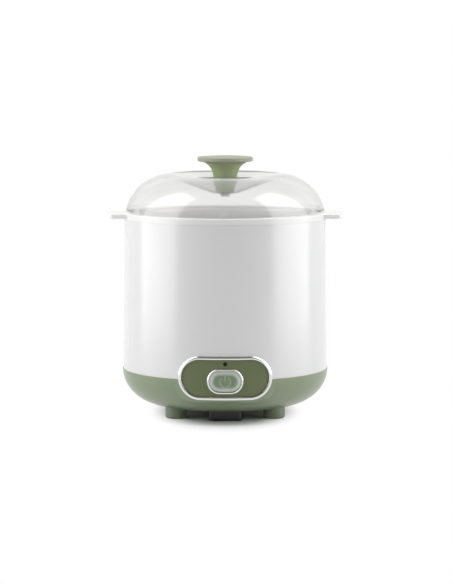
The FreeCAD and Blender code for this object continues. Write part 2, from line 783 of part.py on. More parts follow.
def switch_body():
    half = SWITCH_WIDTH / 2
    case = block(-half, half, switch_front, board_front, button_mid - half, button_mid + half)
    gap = PLUNGER_WIDTH / 2 + SLIDE_FIT
    socket_end = plunger_end + BUTTON_TRAVEL + SLIDE_FIT
    return case.cut(block(-gap, gap, switch_front, socket_end, button_mid - gap, button_mid + gap))


def control_board():
    half = BOARD_WIDTH / 2
    body = block(-half, half, board_front, board_back, board_low, board_high)
    for side in (-1, 1):
        x = side * BOARD_SCREW_X
        body = body.cut(rod(SMALL_SCREW_RADIUS + FIT, board_front, board_back, x, button_mid))
    return body


def board_screws():
    screws = []
    for side in (-1, 1):
        x = side * BOARD_SCREW_X
        head = rod(SMALL_HEAD_RADIUS, board_back, board_back + SMALL_HEAD_HEIGHT, x, button_mid)
        shank = rod(SMALL_SCREW_RADIUS, board_front - BOARD_SCREW_BITE, board_back + FIT, x, button_mid)
        screws.append(head.fuse(shank).removeSplitter())
    return Part.makeCompound(screws)


def lamp_tip():
    return board_front - LAMP_LENGTH


def led_lens():
    """Light pipe in the panel's small hole, with a shoulder behind the panel."""
    shoulder = -math.sqrt(panel_back ** 2 - LENS_FLANGE_RADIUS ** 2) + FIT / 10
    pipe = rod(LENS_RADIUS, -(panel_face - LENS_SINK), lamp_tip() - SLIDE_FIT, 0, led_z)
    flange = rod(LENS_FLANGE_RADIUS, shoulder, shoulder + LENS_FLANGE, 0, led_z)
    return pipe.fuse(flange).removeSplitter()


def indicator_led():
    body = rod(LENS_RADIUS, lamp_tip(), board_front, 0, led_z)
    body = body.makeFillet(LENS_RADIUS / 2, [edge for edge in body.Edges if on_lamp_tip(edge)])
    collar = rod(LAMP_RADIUS, board_front - LENS_FLANGE, board_front, 0, led_z)
    return body.fuse(collar).removeSplitter()


def on_lamp_tip(edge):
    return all(abs(p.y - lamp_tip()) < FIT / 10 for p in edge_samples(edge))


# Mains side

def terminal_block():
    half = TERMINAL_LENGTH / 2
    back = terminal_front + TERMINAL_DEPTH
    top = terminal_under + TERMINAL_HEIGHT
    body = block(-half, half, terminal_front, back, terminal_under, top)
    for pole in (-1, 0, 1):
        x = pole * TERMINAL_PITCH
        body = body.cut(rod(TERMINAL_ENTRY_RADIUS, back - TERMINAL_ENTRY_DEPTH, back, x, terminal_mid))
        body = body.cut(post(TERMINAL_ENTRY_RADIUS, terminal_mid, top, x, TERMINAL_Y))
    for side in (-1, 1):
        x = side * TERMINAL_SCREW_X
        body = body.cut(post(SMALL_SCREW_RADIUS + FIT, terminal_under, terminal_mid, x, TERMINAL_Y))
        body = body.cut(post(SMALL_HEAD_RADIUS + FIT, terminal_mid, top, x, TERMINAL_Y))
    return body


def terminal_screws():
    screws = []
    for side in (-1, 1):
        x = side * TERMINAL_SCREW_X
        head = post(SMALL_HEAD_RADIUS, terminal_mid, terminal_mid + SMALL_HEAD_HEIGHT, x, TERMINAL_Y)
        shank = post(SMALL_SCREW_RADIUS, terminal_under - TERMINAL_SCREW_BITE, terminal_mid + FIT, x,
                     TERMINAL_Y)
        screws.append(head.fuse(shank).removeSplitter())
    return Part.makeCompound(screws)


def cord_gland():
    """Soft bush in the back of the base, as far behind the axis as the bezel is in front."""
    inner_face = gland_boss_front - GLAND_INNER_FLANGE
    body = rod(GLAND_RADIUS, inner_face, bezel_face, 0, GLAND_HEIGHT)
    body = body.fuse(rod(GLAND_FLANGE_RADIUS, inner_face, gland_boss_front, 0, GLAND_HEIGHT))
    collar = Part.makeCone(GLAND_FLANGE_RADIUS, GLAND_TIP_RADIUS, bezel_face - gland_boss_back,
                           Vector(0, gland_boss_back, GLAND_HEIGHT), Vector(0, 1, 0))
    body = body.fuse(collar)
    return body.cut(rod(GLAND_BORE_RADIUS, inner_face, bezel_face, 0, GLAND_HEIGHT)).removeSplitter()


# Inside wires

def wire(places):
    """A round wire along straight runs that are joined by tangent arcs."""
    points = [Vector(*place) for place in places]
    edges = []
    here = points[0]
    for before, corner, after in zip(points, points[1:], points[2:]):
        back = (before - corner).normalize()
        ahead = (after - corner).normalize()
        turn = math.pi - back.getAngle(ahead)
        run = min(corner.distanceToPoint(before), corner.distanceToPoint(after))
        trim = WIRE_BEND_SHARE * run
        enter = corner + back * trim
        leave = corner + ahead * trim
        radius = trim / math.tan(turn / 2)
        inward = (back + ahead).normalize()
        middle = corner + inward * (math.hypot(radius, trim) - radius)
        edges.append(Part.LineSegment(here, enter).toShape())
        edges.append(Part.Arc(enter, middle, leave).toShape())
        here = leave
    edges.append(Part.LineSegment(here, points[-1]).toShape())
    heading = points[1] - points[0]
    ring = Part.Wire([Part.Circle(points[0], heading, WIRE_RADIUS).toShape()])
    return Part.Wire(edges).makePipeShell([ring], True, False)


def live_wire():
    x = -TERMINAL_PITCH
    return wire([
        (x, terminal_front, terminal_mid),
        (x, terminal_front - WIRE_LEAD, terminal_mid),
        (-WIRE_LANE_X, terminal_front - 2 * WIRE_LEAD, lane_z),
        (-WIRE_LANE_X, board_back + 2 * WIRE_LEAD, lane_z),
        (-WIRE_PIN_X, board_back + WIRE_LEAD, pin_z),
        (-WIRE_PIN_X, board_back, pin_z),
    ])


def lamp_wire():
    x = TERMINAL_PITCH
    pin = 3 * WIRE_PIN_X
    return wire([
        (x, terminal_front, terminal_mid),
        (x, terminal_front - WIRE_LEAD, terminal_mid),
        (WIRE_LANE_X, terminal_front - 2 * WIRE_LEAD, lane_z),
        (WIRE_LANE_X, board_back + 2 * WIRE_LEAD, lane_z),
        (pin, board_back + WIRE_LEAD, pin_z),
        (pin, board_back, pin_z),
    ])


def switch_wire():
    blade_end = thermostat_under - TAB_LENGTH
    bend = blade_end - WIRE_LEAD
    return wire([
        (WIRE_PIN_X, board_back, pin_z),
        (WIRE_PIN_X, board_back + WIRE_LEAD, pin_z),
        (THERMOSTAT_BLADE_X, -WIRE_LEAD, bend),
        (THERMOSTAT_BLADE_X, 0, bend),
        (THERMOSTAT_BLADE_X, 0, blade_end),
    ])


def fuse_wire():
    blade_end = thermostat_under - TAB_LENGTH
    bend = blade_end - WIRE_LEAD
    fuse_end = -FUSE_LENGTH / 2
    return wire([
        (-THERMOSTAT_BLADE_X, 0, blade_end),
        (-THERMOSTAT_BLADE_X, 0, bend),
        (-WIRE_LANE_X, FUSE_Y / 2, bend),
        (-WIRE_LANE_X, FUSE_Y, fuse_z),
        (fuse_end, FUSE_Y, fuse_z),
    ])


def heater_wire():
    tab_end = cover_under - TAB_LENGTH
    bend = tab_end - WIRE_LEAD
    return wire([
        (FUSE_LENGTH / 2, FUSE_Y, fuse_z),
        (WIRE_LANE_X, FUSE_Y, fuse_z),
        (WIRE_LANE_X + WIRE_LEAD, 0, bend),
        (TAB_X, TAB_Y, bend),
        (TAB_X, TAB_Y, tab_end),
    ])


def neutral_wire():
    tab_end = cover_under - TAB_LENGTH
    bend = tab_end - WIRE_LEAD
    return wire([
        (-TAB_X, TAB_Y, tab_end),
        (-TAB_X, TAB_Y, bend),
        (0, terminal_front - 2 * WIRE_LEAD, terminal_mid),
        (0, terminal_front, terminal_mid),
    ])


# Yogurt bowl

def bowl_cup():
    top = well_top_radius - BOWL_GAP
    bottom = well_floor_radius - BOWL_GAP
    floor_under = plate_top + BOWL_PLATE_GAP
    floor_top = floor_under + BOWL_WALL
    bend = bottom - BOWL_CORNER
    bend_z = floor_under + BOWL_CORNER
    step = well_top + BOWL_RIM_FLOOR
    band = rim_radius - BOWL_RIM_WALL
    inner_corner = BOWL_CORNER - BOWL_WALL
    outline = Outline(0, floor_under).line(bend, floor_under)
    outline.arc((bend, bend_z), -90, 0, BOWL_CORNER).line(top, well_top)
    outline.line(rim_radius, well_top).line(rim_radius, rim_top).line(band, rim_top)
    outline.line(band, step).line(top - BOWL_WALL, step).line(bottom - BOWL_WALL, bend_z)
    outline.arc((bend, bend_z), 0, -90, inner_corner).line(0, floor_top)
    body = outline.turned()
    return body.makeFillet(BOWL_RIM_ROUND, edges_at_height(body, rim_top))


def bowl_ear(side):
    """Lifting tab on the rim, hollow and ribbed underneath."""
    top = rim_top - EAR_DROP
    low = top - EAR_THICKNESS
    inner = rim_radius - BOWL_RIM_WALL / 2
    half = EAR_HALF_WIDTH
    slab = block(0, ear_reach, -half, half, low, top)
    slab = slab.common(tube(inner, ear_reach, low, top))
    corners = []
    for edge in slab.Edges:
        start, _, end = edge_samples(edge)
        upright = abs(start.z - end.z) > EAR_THICKNESS / 2
        if upright and start.x > rim_radius:
            corners.append(edge)
    slab = slab.makeFillet(EAR_CORNER, corners)
    slab = slab.makeFillet(EAR_ROUND, edges_at_height(slab, top))
    wide = half - EAR_SKIN
    pocket = block(0, ear_reach, -wide, wide, low, top - EAR_SKIN)
    pocket = pocket.common(tube(rim_radius + EAR_SKIN, ear_reach - EAR_SKIN, low, top))
    rib = EAR_SKIN / 2
    pocket = pocket.cut(block(0, ear_reach, -wide / 3 - rib, -wide / 3 + rib, low, top))
    pocket = pocket.cut(block(0, ear_reach, wide / 3 - rib, wide / 3 + rib, low, top))
    body = slab.cut(pocket)
    if side < 0:
        body.rotate(Vector(0, 0, 0), Vector(0, 0, 1), 180)
    return body


def yogurt_bowl():
    return bowl_cup().fuse(bowl_ear(1)).fuse(bowl_ear(-1)).removeSplitter()


# Dome lid

def dome_lid():
    """Round shoulder up to a crest, then a funnel down to the knob's seat, one wall thick."""
    drop = DOME_ARC - DOME_RISE
    crest_r = lid_edge_radius - math.sqrt(DOME_ARC ** 2 - drop ** 2)
    dome_centre = (crest_r, crest_z - DOME_ARC)
    crest_centre = (crest_r, crest_z - CREST_ROUND)
    floor_centre = (FUNNEL_FLOOR_RADIUS, knob_seat + FUNNEL_ROUND)
    across = crest_centre[0] - floor_centre[0]
    down = crest_centre[1] - floor_centre[1]
    lean = math.atan2(down, across) + math.asin((CREST_ROUND + FUNNEL_ROUND) / math.hypot(across, down))
    tilt = math.degrees(lean)
    edge_deg = math.degrees(math.asin(drop / DOME_ARC))
    inner_arc = DOME_ARC - LID_WALL
    inner_deg = math.degrees(math.asin(drop / inner_arc))
    inner_edge = polar(dome_centre, inner_arc, inner_deg)
    seat_under = knob_seat - LID_WALL
    hole = KNOB_SCREW_RADIUS + SLIDE_FIT

    outline = Outline(lid_edge_radius, rim_top)
    outline.arc(dome_centre, edge_deg, 90, DOME_ARC)
    outline.arc(crest_centre, 90, 90 + tilt, CREST_ROUND)
    funnel_end = polar(floor_centre, FUNNEL_ROUND, -90 + tilt)
    outline.line(funnel_end.x, funnel_end.z).arc(floor_centre, -90 + tilt, -90, FUNNEL_ROUND)
    outline.line(hole, knob_seat).line(hole, seat_under).line(FUNNEL_FLOOR_RADIUS, seat_under)
    outline.arc(floor_centre, -90, -90 + tilt, FUNNEL_ROUND + LID_WALL)
    crest_start = polar(crest_centre, CREST_ROUND - LID_WALL, 90 + tilt)
    outline.line(crest_start.x, crest_start.z)
    outline.arc(crest_centre, 90 + tilt, 90, CREST_ROUND - LID_WALL)
    outline.arc(dome_centre, 90, inner_deg, inner_arc)
    body = outline.turned()

    lip_outer = rim_radius - BOWL_RIM_WALL - LID_LIP_FIT
    lip_inner = lip_outer - LID_LIP_WALL
    lip = tube(lip_inner, lip_outer, rim_top - LID_LIP_DEPTH, rim_top + LID_LIP_RISE)
    lip = lip.common(dome_fill(dome_centre, inner_arc))
    skirt = tube(inner_edge.x - LID_WALL / 2, lip_outer, rim_top - LID_LIP_DEPTH, rim_top + LID_WALL / 2)
    notch = block(-NOTCH_WIDTH / 2, NOTCH_WIDTH / 2, -ear_reach, 0, rim_top, rim_top + NOTCH_HEIGHT)
    notch = notch.cut(dome_fill(dome_centre, DOME_ARC - NOTCH_DEPTH))
    body = body.fuse(lip).fuse(skirt)
    return body.cut(notch).removeSplitter()


def dome_fill(centre, arc_radius):
    """The space under a dome of a given arc, down to the foot of the lid's lip."""
    low = rim_top - LID_LIP_DEPTH
    edge_deg = math.degrees(math.asin((rim_top - centre[1]) / arc_radius))
    edge = polar(centre, arc_radius, edge_deg)
    outline = Outline(0, low).line(edge.x, low).line(edge.x, rim_top)
    return outline.arc(centre, edge_deg, 90, arc_radius).line(0, centre[1] + arc_radius).turned()


def lid_knob():
    """Trumpet-shaped knob: tapered stem, flared underside, thin edge and crowned top."""
    neck_z = knob_seat + KNOB_NECK_HEIGHT
    flare_z = neck_z + KNOB_FLARE_HEIGHT
    top_edge = flare_z + KNOB_EDGE
    slope = (KNOB_NECK_RADIUS - KNOB_FOOT_RADIUS) / KNOB_NECK_HEIGHT
    rim = KNOB_RADIUS - KNOB_EDGE_ROUND
    corner = (KNOB_NECK_RADIUS + slope * KNOB_FLARE_HEIGHT, flare_z)
    outline = Outline(0, knob_seat).line(KNOB_FOOT_RADIUS, knob_seat).line(KNOB_NECK_RADIUS, neck_z)
    outline.quarter(corner, (rim, flare_z))
    outline.arc((rim, flare_z + KNOB_EDGE_ROUND), -90, 0, KNOB_EDGE_ROUND)
    outline.line(KNOB_RADIUS, top_edge - KNOB_EDGE_ROUND)
    outline.arc((rim, top_edge - KNOB_EDGE_ROUND), 0, 90, KNOB_EDGE_ROUND)
    crown_radius = (rim ** 2 + KNOB_CROWN ** 2) / (2 * KNOB_CROWN)
    crown_centre = (0, top_edge + KNOB_CROWN - crown_radius)
    start = math.degrees(math.acos(rim / crown_radius))
    body = outline.arc(crown_centre, start, 90, crown_radius).turned()
    return body.cut(post(KNOB_SCREW_RADIUS, knob_seat, screw_tip() + PILOT_SPARE))


def screw_tip():
    return knob_seat - LID_WALL - WASHER_THICKNESS + KNOB_SCREW_LENGTH


def knob_washer():
    seat = knob_seat - LID_WALL
    return tube(KNOB_SCREW_RADIUS + SLIDE_FIT, WASHER_RADIUS, seat - WASHER_THICKNESS, seat)


def knob_screw():
    seat = knob_seat - LID_WALL - WASHER_THICKNESS
    return screw_up(0, 0, seat, screw_tip(), KNOB_SCREW_RADIUS, KNOB_SCREW_HEAD_RADIUS,
                    KNOB_SCREW_HEAD_HEIGHT)


def build_nodes():
    nodes = {
        "outer_shell": outer_shell(),
        "base_shell": base_shell(),
        "base_screws": base_screws(),
        "inner_well": inner_well(),
        "plate_seal": plate_seal(),
        "heater_plate": heater_plate(),
        "heater_element": heater_element(),
        "heater_cover": heater_cover(),
        "heater_screws": heater_screws(),
        "thermostat": thermostat(),
        "thermostat_screws": thermostat_screws(),
        "thermal_fuse": thermal_fuse(),
        "fuse_clip": fuse_clip(),
        "fuse_screw": fuse_screw(),
        "panel_bezel": panel_bezel(),
        "control_panel": control_panel(),
        "button_ring": button_ring(),
        "power_button": power_button(),
        "switch_plunger": switch_plunger(),
        "switch_body": switch_body(),
        "control_board": control_board(),
        "board_screws": board_screws(),
        "led_lens": led_lens(),
        "indicator_led": indicator_led(),
        "terminal_block": terminal_block(),
        "terminal_screws": terminal_screws(),
        "cord_gland": cord_gland(),
        "live_wire": live_wire(),
        "lamp_wire": lamp_wire(),
        "switch_wire": switch_wire(),
        "fuse_wire": fuse_wire(),
        "heater_wire": heater_wire(),
        "neutral_wire": neutral_wire(),
        "yogurt_bowl": yogurt_bowl(),
        "dome_lid": dome_lid(),
        "lid_knob": lid_knob(),
        "knob_washer": knob_washer(),
        "knob_screw": knob_screw(),
    }
    for name, (x, y) in foot_places().items():
        nodes["foot_" + name] = foot(x, y)
    return nodes


os.makedirs("parts", exist_ok=True)
for node, shape in build_nodes().items():
    shape.exportStep(os.path.join("parts", node + ".step"))
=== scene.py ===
import bpy
import bmesh
import json
import math
import numpy as np
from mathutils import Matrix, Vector


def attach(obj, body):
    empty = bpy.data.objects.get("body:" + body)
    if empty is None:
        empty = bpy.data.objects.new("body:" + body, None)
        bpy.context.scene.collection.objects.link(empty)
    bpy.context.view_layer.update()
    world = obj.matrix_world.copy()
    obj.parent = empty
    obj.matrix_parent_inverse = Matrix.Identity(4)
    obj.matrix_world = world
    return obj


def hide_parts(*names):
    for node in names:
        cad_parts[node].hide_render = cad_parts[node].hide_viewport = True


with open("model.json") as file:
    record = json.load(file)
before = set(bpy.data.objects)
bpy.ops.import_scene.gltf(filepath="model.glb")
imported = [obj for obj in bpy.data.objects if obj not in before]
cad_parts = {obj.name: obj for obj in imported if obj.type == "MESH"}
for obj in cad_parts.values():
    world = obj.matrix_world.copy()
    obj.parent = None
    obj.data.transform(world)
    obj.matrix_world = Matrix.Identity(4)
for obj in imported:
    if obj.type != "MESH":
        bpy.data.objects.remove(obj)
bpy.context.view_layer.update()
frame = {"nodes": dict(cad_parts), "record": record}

MM = 0.001

# Heights and radii of the housing, in millimetres, as the solids have them
SEAM_Z = 37.7
BASE_RADIUS = 87.0
SHELL_FOOT_RADIUS = 86.4
SHELL_TOP_RADIUS = 85.2
SHELL_TOP_Z = 163.6
RIM_TOP_Z = 170.2

# Lug under the front of the base, where painted shade darkens the base's colour
LUG_TOP_Z = 8.6
LUG_WIDTH = 27.3
LUG_FRONT = 61.0
LUG_MARGIN = 0.2

# Panel bezel
PANEL_MID_Z = 39.4
PANEL_WIDTH = 72.0
PANEL_HEIGHT = 30.4
BEZEL_WIDTH = 3.0
BEZEL_SPIGOT = 1.4
BEZEL_FACE = 88.5
BEZEL_BACK = 83.0
BEZEL_INNER_ROUND = 1.1
BEZEL_OUTER_ROUND = 1.8
BEZEL_OUTER_DROP = 1.3

# Button and its ring
BUTTON_MID_Z = 37.0
BUTTON_WIDTH = 26.4
BUTTON_HEIGHT = 17.3
BUTTON_GAP = 0.3
BUTTON_FACE = 88.25
# Where the painted highlight on the button's bevel starts and becomes full, in from its outline
HIGHLIGHT_EDGE_START = 4.8
HIGHLIGHT_EDGE_FULL = 1.2
RING_RIM = 1.6
RING_SPIGOT = 0.8
RING_SEAT = 87.0
RING_FACE = 88.4
RING_BACK = 85.0
RING_INNER_ROUND = 0.3
RING_OUTER_ROUND = 1.1
RING_OUTER_DROP = 1.1

# Sign on the button
SIGN_RADIUS = 4.3
SIGN_GAP_DEG = 34.0
SIGN_STROKE = 1.3
SIGN_PROUD = 0.2
SIGN_SINK = 0.3
SIGN_DROP = 0.4
SIGN_BAR_LOW = 1.0
SIGN_BAR_HIGH = 6.0

# Dome lid
LID_EDGE_RADIUS = 84.3
LID_WALL = 2.0
DOME_ARC = 39.0
DOME_RISE = 31.8
CREST_ROUND = 3.0
FUNNEL_DEPTH = 13.2
FUNNEL_FLOOR_RADIUS = 10.0
FUNNEL_ROUND = 4.0
LID_HOLE_RADIUS = 1.9
LIP_OUTER_RADIUS = 82.6
LIP_INNER_RADIUS = 80.8
LIP_LOW_Z = 168.2
LIP_TOP_Z = 174.2
LIP_FIRST_STEP = 0.4
NOTCH_HALF_WIDTH = 4.25
NOTCH_TOP_Z = 174.2
NOTCH_DEPTH = 0.5
NOTCH_SLOPE = 1.3
LID_SEAT_LIFT = 0.05

# Lid knob
KNOB_SEAT_Z = 188.8
KNOB_FOOT_RADIUS = 7.5
KNOB_NECK_RADIUS = 10.9
KNOB_NECK_Z = 203.5
KNOB_FLARE_Z = 212.7
KNOB_RADIUS = 23.3
KNOB_EDGE = 3.6
KNOB_EDGE_ROUND = 0.8
KNOB_TOP_Z = 217.3
# Radii over which the painted sheen on the knob's flare grows
SHEEN_PAINT_START = 13.0
SHEEN_PAINT_FULL = 23.0

# Fineness of the worked-out surfaces
TURN_STEPS = 288
ARC_STEPS = 24
PATH_STEPS = 96
DOME_STEPS = 3 * ARC_STEPS
NOTCH_STEPS = 3 * ARC_STEPS
FLARE_STEPS = 2 * ARC_STEPS
LIP_STEPS = 8
STEM_STEPS = 12
KNOB_EDGE_STEPS = 10
BAND_INNER_STEPS = 8
BAND_OUTER_STEPS = 16
SIGN_SECTION_STEPS = 9
SIGN_RING_STEPS = 72
SIGN_BAR_STEPS = 16

# Angles past which an edge stays sharp, in degrees
SOLID_SHARP_DEG = 28
BAND_SHARP_DEG = 50
SIGN_SHARP_DEG = 40
LID_SHARP_DEG = 40

# Distances under which points are one point and an edge is none, in metres
MERGE_DISTANCE = 0.000002
LEAST_EDGE = 0.000001

# Solids that are shown with their round walls shaded smooth
SMOOTHED_NODES = (
    "outer_shell", "base_shell", "inner_well", "yogurt_bowl", "control_panel", "power_button",
    "cord_gland", "foot_front_left", "foot_front_right", "foot_rear_left", "foot_rear_right",
    "led_lens", "heater_plate",
)

# Colours, as linear red, green and blue
WHITE_BODY = (0.78, 0.78, 0.785)
SAGE_GREEN = (0.262, 0.318, 0.207)
# Painted shade of the lug under the base
LUG_PAINTED_SHADE = (0.004, 0.005, 0.003)
NECK_GREEN = (0.42, 0.50, 0.27)
# Painted sheen of the knob's flare and disc
KNOB_PAINTED_SHEEN = (0.395, 0.405, 0.32)
FOOT_GREEN = (0.19, 0.23, 0.15)
PANEL_GREEN = (0.132, 0.167, 0.071)
BUTTON_GREEN = (0.205, 0.268, 0.168)
# Painted highlight of the button's bevel
BUTTON_PAINTED_HIGHLIGHT = (0.62, 0.67, 0.60)
SIGN_PALE = (0.30, 0.37, 0.26)
CHROME = (0.74, 0.75, 0.72)
TUB_WHITE = (0.87, 0.866, 0.855)
DOME_TINT = (0.978, 0.978, 0.972)
DOME_SHADE_TINT = (0.91, 0.91, 0.91)
DOME_DEPTH_TINT = (0.90, 0.90, 0.89)
LENS_DARK = (0.010, 0.010, 0.008)
LAMP_RED = (0.75, 0.30, 0.20)
SCREW_STEEL = (0.60, 0.60, 0.60)
PLATE_ALUMINIUM = (0.74, 0.74, 0.75)
SEAL_GREY = (0.62, 0.62, 0.59)
ELEMENT_BROWN = (0.42, 0.11, 0.05)
SWITCH_BLACK = (0.05, 0.05, 0.05)
PLUNGER_WHITE = (0.74, 0.74, 0.71)
SLEEVE_CREAM = (0.78, 0.76, 0.68)
BOARD_GREEN = (0.07, 0.20, 0.08)
GLAND_GREY = (0.52, 0.53, 0.50)
WIRE_BROWN = (0.33, 0.15, 0.07)
WIRE_BLUE = (0.07, 0.15, 0.42)
WIRE_BLACK = (0.04, 0.04, 0.04)
WIRE_CREAM = (0.72, 0.69, 0.62)

# What moulded finishes share: noise in cells per metre, lengths in metres
NOISE_LOW = 0.3
NOISE_HIGH = 0.7
DRIFT_SCALE = 14.0
DRIFT_DETAIL = 2.0
SKIN_DETAIL = 3.0
SKIN_HEIGHT = 0.0004
GLOSS_SWING = 0.02
SOFT_REACH = (0.004, 0.004, 0.0036)
EVEN = (1.0, 1.0, 1.0)
ACROSS_AXIS = (1.0, 1.0, 0.0)

# Clear plastic of the dome
DOME_HAZE_SCALE = 40.0
DOME_HAZE_SPREAD = 0.01
DOME_ROUGH_LOW = 0.06
DOME_ROUGH_HIGH = 0.08
DOME_IOR = 1.46
DOME_COAT = 0.5
DOME_COAT_IOR = 1.6
DOME_COAT_ROUGH = 0.26
DOME_DEPTH_DENSITY = 90.0

# Camera, in metres, with its lens and sensor in millimetres
CAMERA_PLACE = (0.0007, -2.217, 0.3375)
CAMERA_AIM = (0.0007, 0.0, 0.1015)
CAMERA_LENS = 161.9
CAMERA_SENSOR = 36.0
CAMERA_FAR = 100.0

# Lamps and bright sheets, in metres and watts, with azimuths in degrees from the front
SIDE_AZIMUTH = 80.0
SIDE_DISTANCE = 0.68
SIDE_WIDTH = 0.86
SIDE_HEIGHT = 0.90
SIDE_CENTRE_Z = 0.48
SIDE_POWER = 4.3
LEFT_SHARE = 1.07
CARD_AZIMUTH = 79.0
CARD_WIDTH = 0.64
CARD_HEIGHT = 1.5
CARD_CENTRE_Z = 0.745
CARD_LEVEL = 3.4
TOP_SIZE = 1.1
TOP_Z = 1.15
TOP_POWER = 7.5

# Brightness of the room, and where it changes along a direction of length one
BACKDROP_WHITE = 1.0
ROOM_FRONT = 0.225
ROOM_BACK = 0.10
MIRROR_FRONT = 0.30
MIRROR_CEILING = 0.55
FRONT_END_Y = -0.1
BACK_START_Y = 0.3
CEILING_START_Z = 0.45
CEILING_FULL_Z = 0.75

# Floor, in metres
FLOOR_SIZE = 12.0
FLOOR_GREY = 0.78
FLOOR_SPECK_SCALE = 30.0
FLOOR_SPECK_SPREAD = 0.004
FLOOR_ROUGH = 0.9
FADE_START = 0.070
FADE_END = 0.128
FADE_NARROW = 1.9


# Grids and profiles

def mesh_from_grid(name, points, close_u, close_v):
    """A surface from an array of rows and columns of points: each cell is a quad, and a closed
    direction joins its last line to its first."""
    rows, columns, _ = points.shape
    index = np.arange(rows * columns).reshape(rows, columns)
    if close_u:
        index = np.vstack([index, index[:1]])
    if close_v:
        index = np.hstack([index, index[:, :1]])
    corners = [index[:-1, :-1], index[1:, :-1], index[1:, 1:], index[:-1, 1:]]
    quads = np.stack([c.ravel() for c in corners], axis=1)
    mesh = bpy.data.meshes.new(name)
    mesh.from_pydata((points.reshape(-1, 3) * MM).tolist(), [], quads.tolist())
    return mesh


def shade_round(mesh, sharp_deg):
    """Smooth shading, with edges sharp where their faces meet at more than an angle."""
    mesh.shade_smooth()
    mesh.set_sharp_from_angle(angle=math.radians(sharp_deg))


def finish_mesh(mesh, sharp_deg):
    """Merges doubled points, turns the faces outwards, and keeps edges sharp past an angle."""
    work = bmesh.new()
    work.from_mesh(mesh)
    bmesh.ops.remove_doubles(work, verts=work.verts, dist=MERGE_DISTANCE)
    bmesh.ops.dissolve_degenerate(work, edges=work.edges, dist=LEAST_EDGE)
    bmesh.ops.recalc_face_normals(work, faces=work.faces)
    work.to_mesh(mesh)
    work.free()
    shade_round(mesh, sharp_deg)


def place(name, mesh, body, slot, replaced=()):
    """Puts a mesh into the scene on a body, with its slot's finish, in place of the solids named."""
    piece = bpy.data.objects.new(name, mesh)
    bpy.context.scene.collection.objects.link(piece)
    piece.data.materials.append(finishes[slot])
    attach(piece, body)
    if replaced:
        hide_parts(*replaced)
    return piece


def arc(centre, radius, start_deg, end_deg, steps=ARC_STEPS):
    """Points of a circular arc in the plane of radius and height: the centre plus the radius times
    cosine and sine."""
    angle = np.radians(np.linspace(start_deg, end_deg, steps))
    return np.stack([centre[0] + radius * np.cos(angle), centre[1] + radius * np.sin(angle)], axis=1)


def quarter(start, corner, end, steps=ARC_STEPS):
    """Elliptic quarter that leaves start towards the corner and reaches end from the corner:
    start plus (corner - start) sin t plus (end - corner) (1 - cos t)."""
    t = np.linspace(0, math.pi / 2, steps)[:, None]
    start, corner, end = (np.array(p, float) for p in (start, corner, end))
    return start + (corner - start) * np.sin(t) + (end - corner) * (1 - np.cos(t))


def turned(profile, steps=TURN_STEPS):
    """A profile of radius and height carried round the upright axis."""
    angle = np.linspace(0, 2 * math.pi, steps, endpoint=False)[:, None]
    radius = profile[None, :, 0]
    height = np.broadcast_to(profile[None, :, 1], (steps, len(profile)))
    return np.stack([radius * np.cos(angle), radius * np.sin(angle), height], axis=2)


def stadium_path(width, height, steps=PATH_STEPS):
    """Points and outward normals of an outline with two straight sides and two half-round ends,
    evenly spread over each side and end."""
    end = height / 2
    flat = width / 2 - end
    turn = np.linspace(-math.pi / 2, math.pi / 2, steps, endpoint=False)
    run = np.linspace(-flat, flat, steps, endpoint=False)
    right = np.stack([flat + end * np.cos(turn), end * np.sin(turn)], axis=1)
    top = np.stack([-run, np.full(steps, end)], axis=1)
    points = np.vstack([right, top, -right, -top])
    right_out = np.stack([np.cos(turn), np.sin(turn)], axis=1)
    top_out = np.tile([0.0, 1.0], (steps, 1))
    normals = np.vstack([right_out, top_out, -right_out, -top_out])
    return points, normals


def band_on_front(width, height, mid_z, profile):
    """A profile carried round a stadium on the housing's front: its first number moves out from the
    stadium, its second is the distance from the upright axis, bent round that axis."""
    points, normals = stadium_path(width, height)
    flat = points[:, None, :] + normals[:, None, :] * profile[..., 0][..., None]
    x = flat[..., 0]
    z = flat[..., 1] + mid_z
    radius = np.broadcast_to(profile[..., 1], x.shape)
    return np.stack([x, -np.sqrt(radius ** 2 - x ** 2), z], axis=2)


# Steps that finishes are made of

def shader_start(name):
    """A new finish with its nodes and links."""
    material = bpy.data.materials.new(name)
    material.use_nodes = True
    return material, material.node_tree.nodes, material.node_tree.links


def three_numbers(nodes, links, space):
    """The three numbers of a point's place in the piece's own space, in metres, or of the direction in
    which the room is looked at."""
    place_node = nodes.new("ShaderNodeTexCoord")
    split = nodes.new("ShaderNodeSeparateXYZ")
    links.new(place_node.outputs[space], split.inputs["Vector"])
    return split.outputs


def scaled_reach(nodes, links, scale):
    """The distance of a point from the piece's own origin, with each direction scaled first."""
    place_node = nodes.new("ShaderNodeTexCoord")
    mapping = nodes.new("ShaderNodeMapping")
    mapping.inputs["Scale"].default_value = scale
    links.new(place_node.outputs["Object"], mapping.inputs["Vector"])
    reach = nodes.new("ShaderNodeVectorMath")
    reach.operation = "LENGTH"
    links.new(mapping.outputs["Vector"], reach.inputs[0])
    return reach.outputs["Value"]


def number(nodes, links, operation, source, value=None):
    """One step of arithmetic on a source, with a fixed number or another source."""
    node = nodes.new("ShaderNodeMath")
    node.operation = operation
    links.new(source, node.inputs[0])
    if isinstance(value, float):
        node.inputs[1].default_value = value
    elif value is not None:
        links.new(value, node.inputs[1])
    return node.outputs["Value"]


def ramped(nodes, links, source, start, end, low=0.0, high=1.0):
    """A number that runs straight from low to high while its source runs from start to end."""
    node = nodes.new("ShaderNodeMapRange")
    node.inputs["From Min"].default_value = start
    node.inputs["From Max"].default_value = end
    node.inputs["To Min"].default_value = low
    node.inputs["To Max"].default_value = high
    links.new(source, node.inputs["Value"])
    return node.outputs["Result"]


def eased(nodes, links, source, start, end):
    """A number that runs from nothing to one while its source runs from start to end, with soft ends."""
    result = ramped(nodes, links, source, start, end)
    result.node.interpolation_type = "SMOOTHSTEP"
    return result


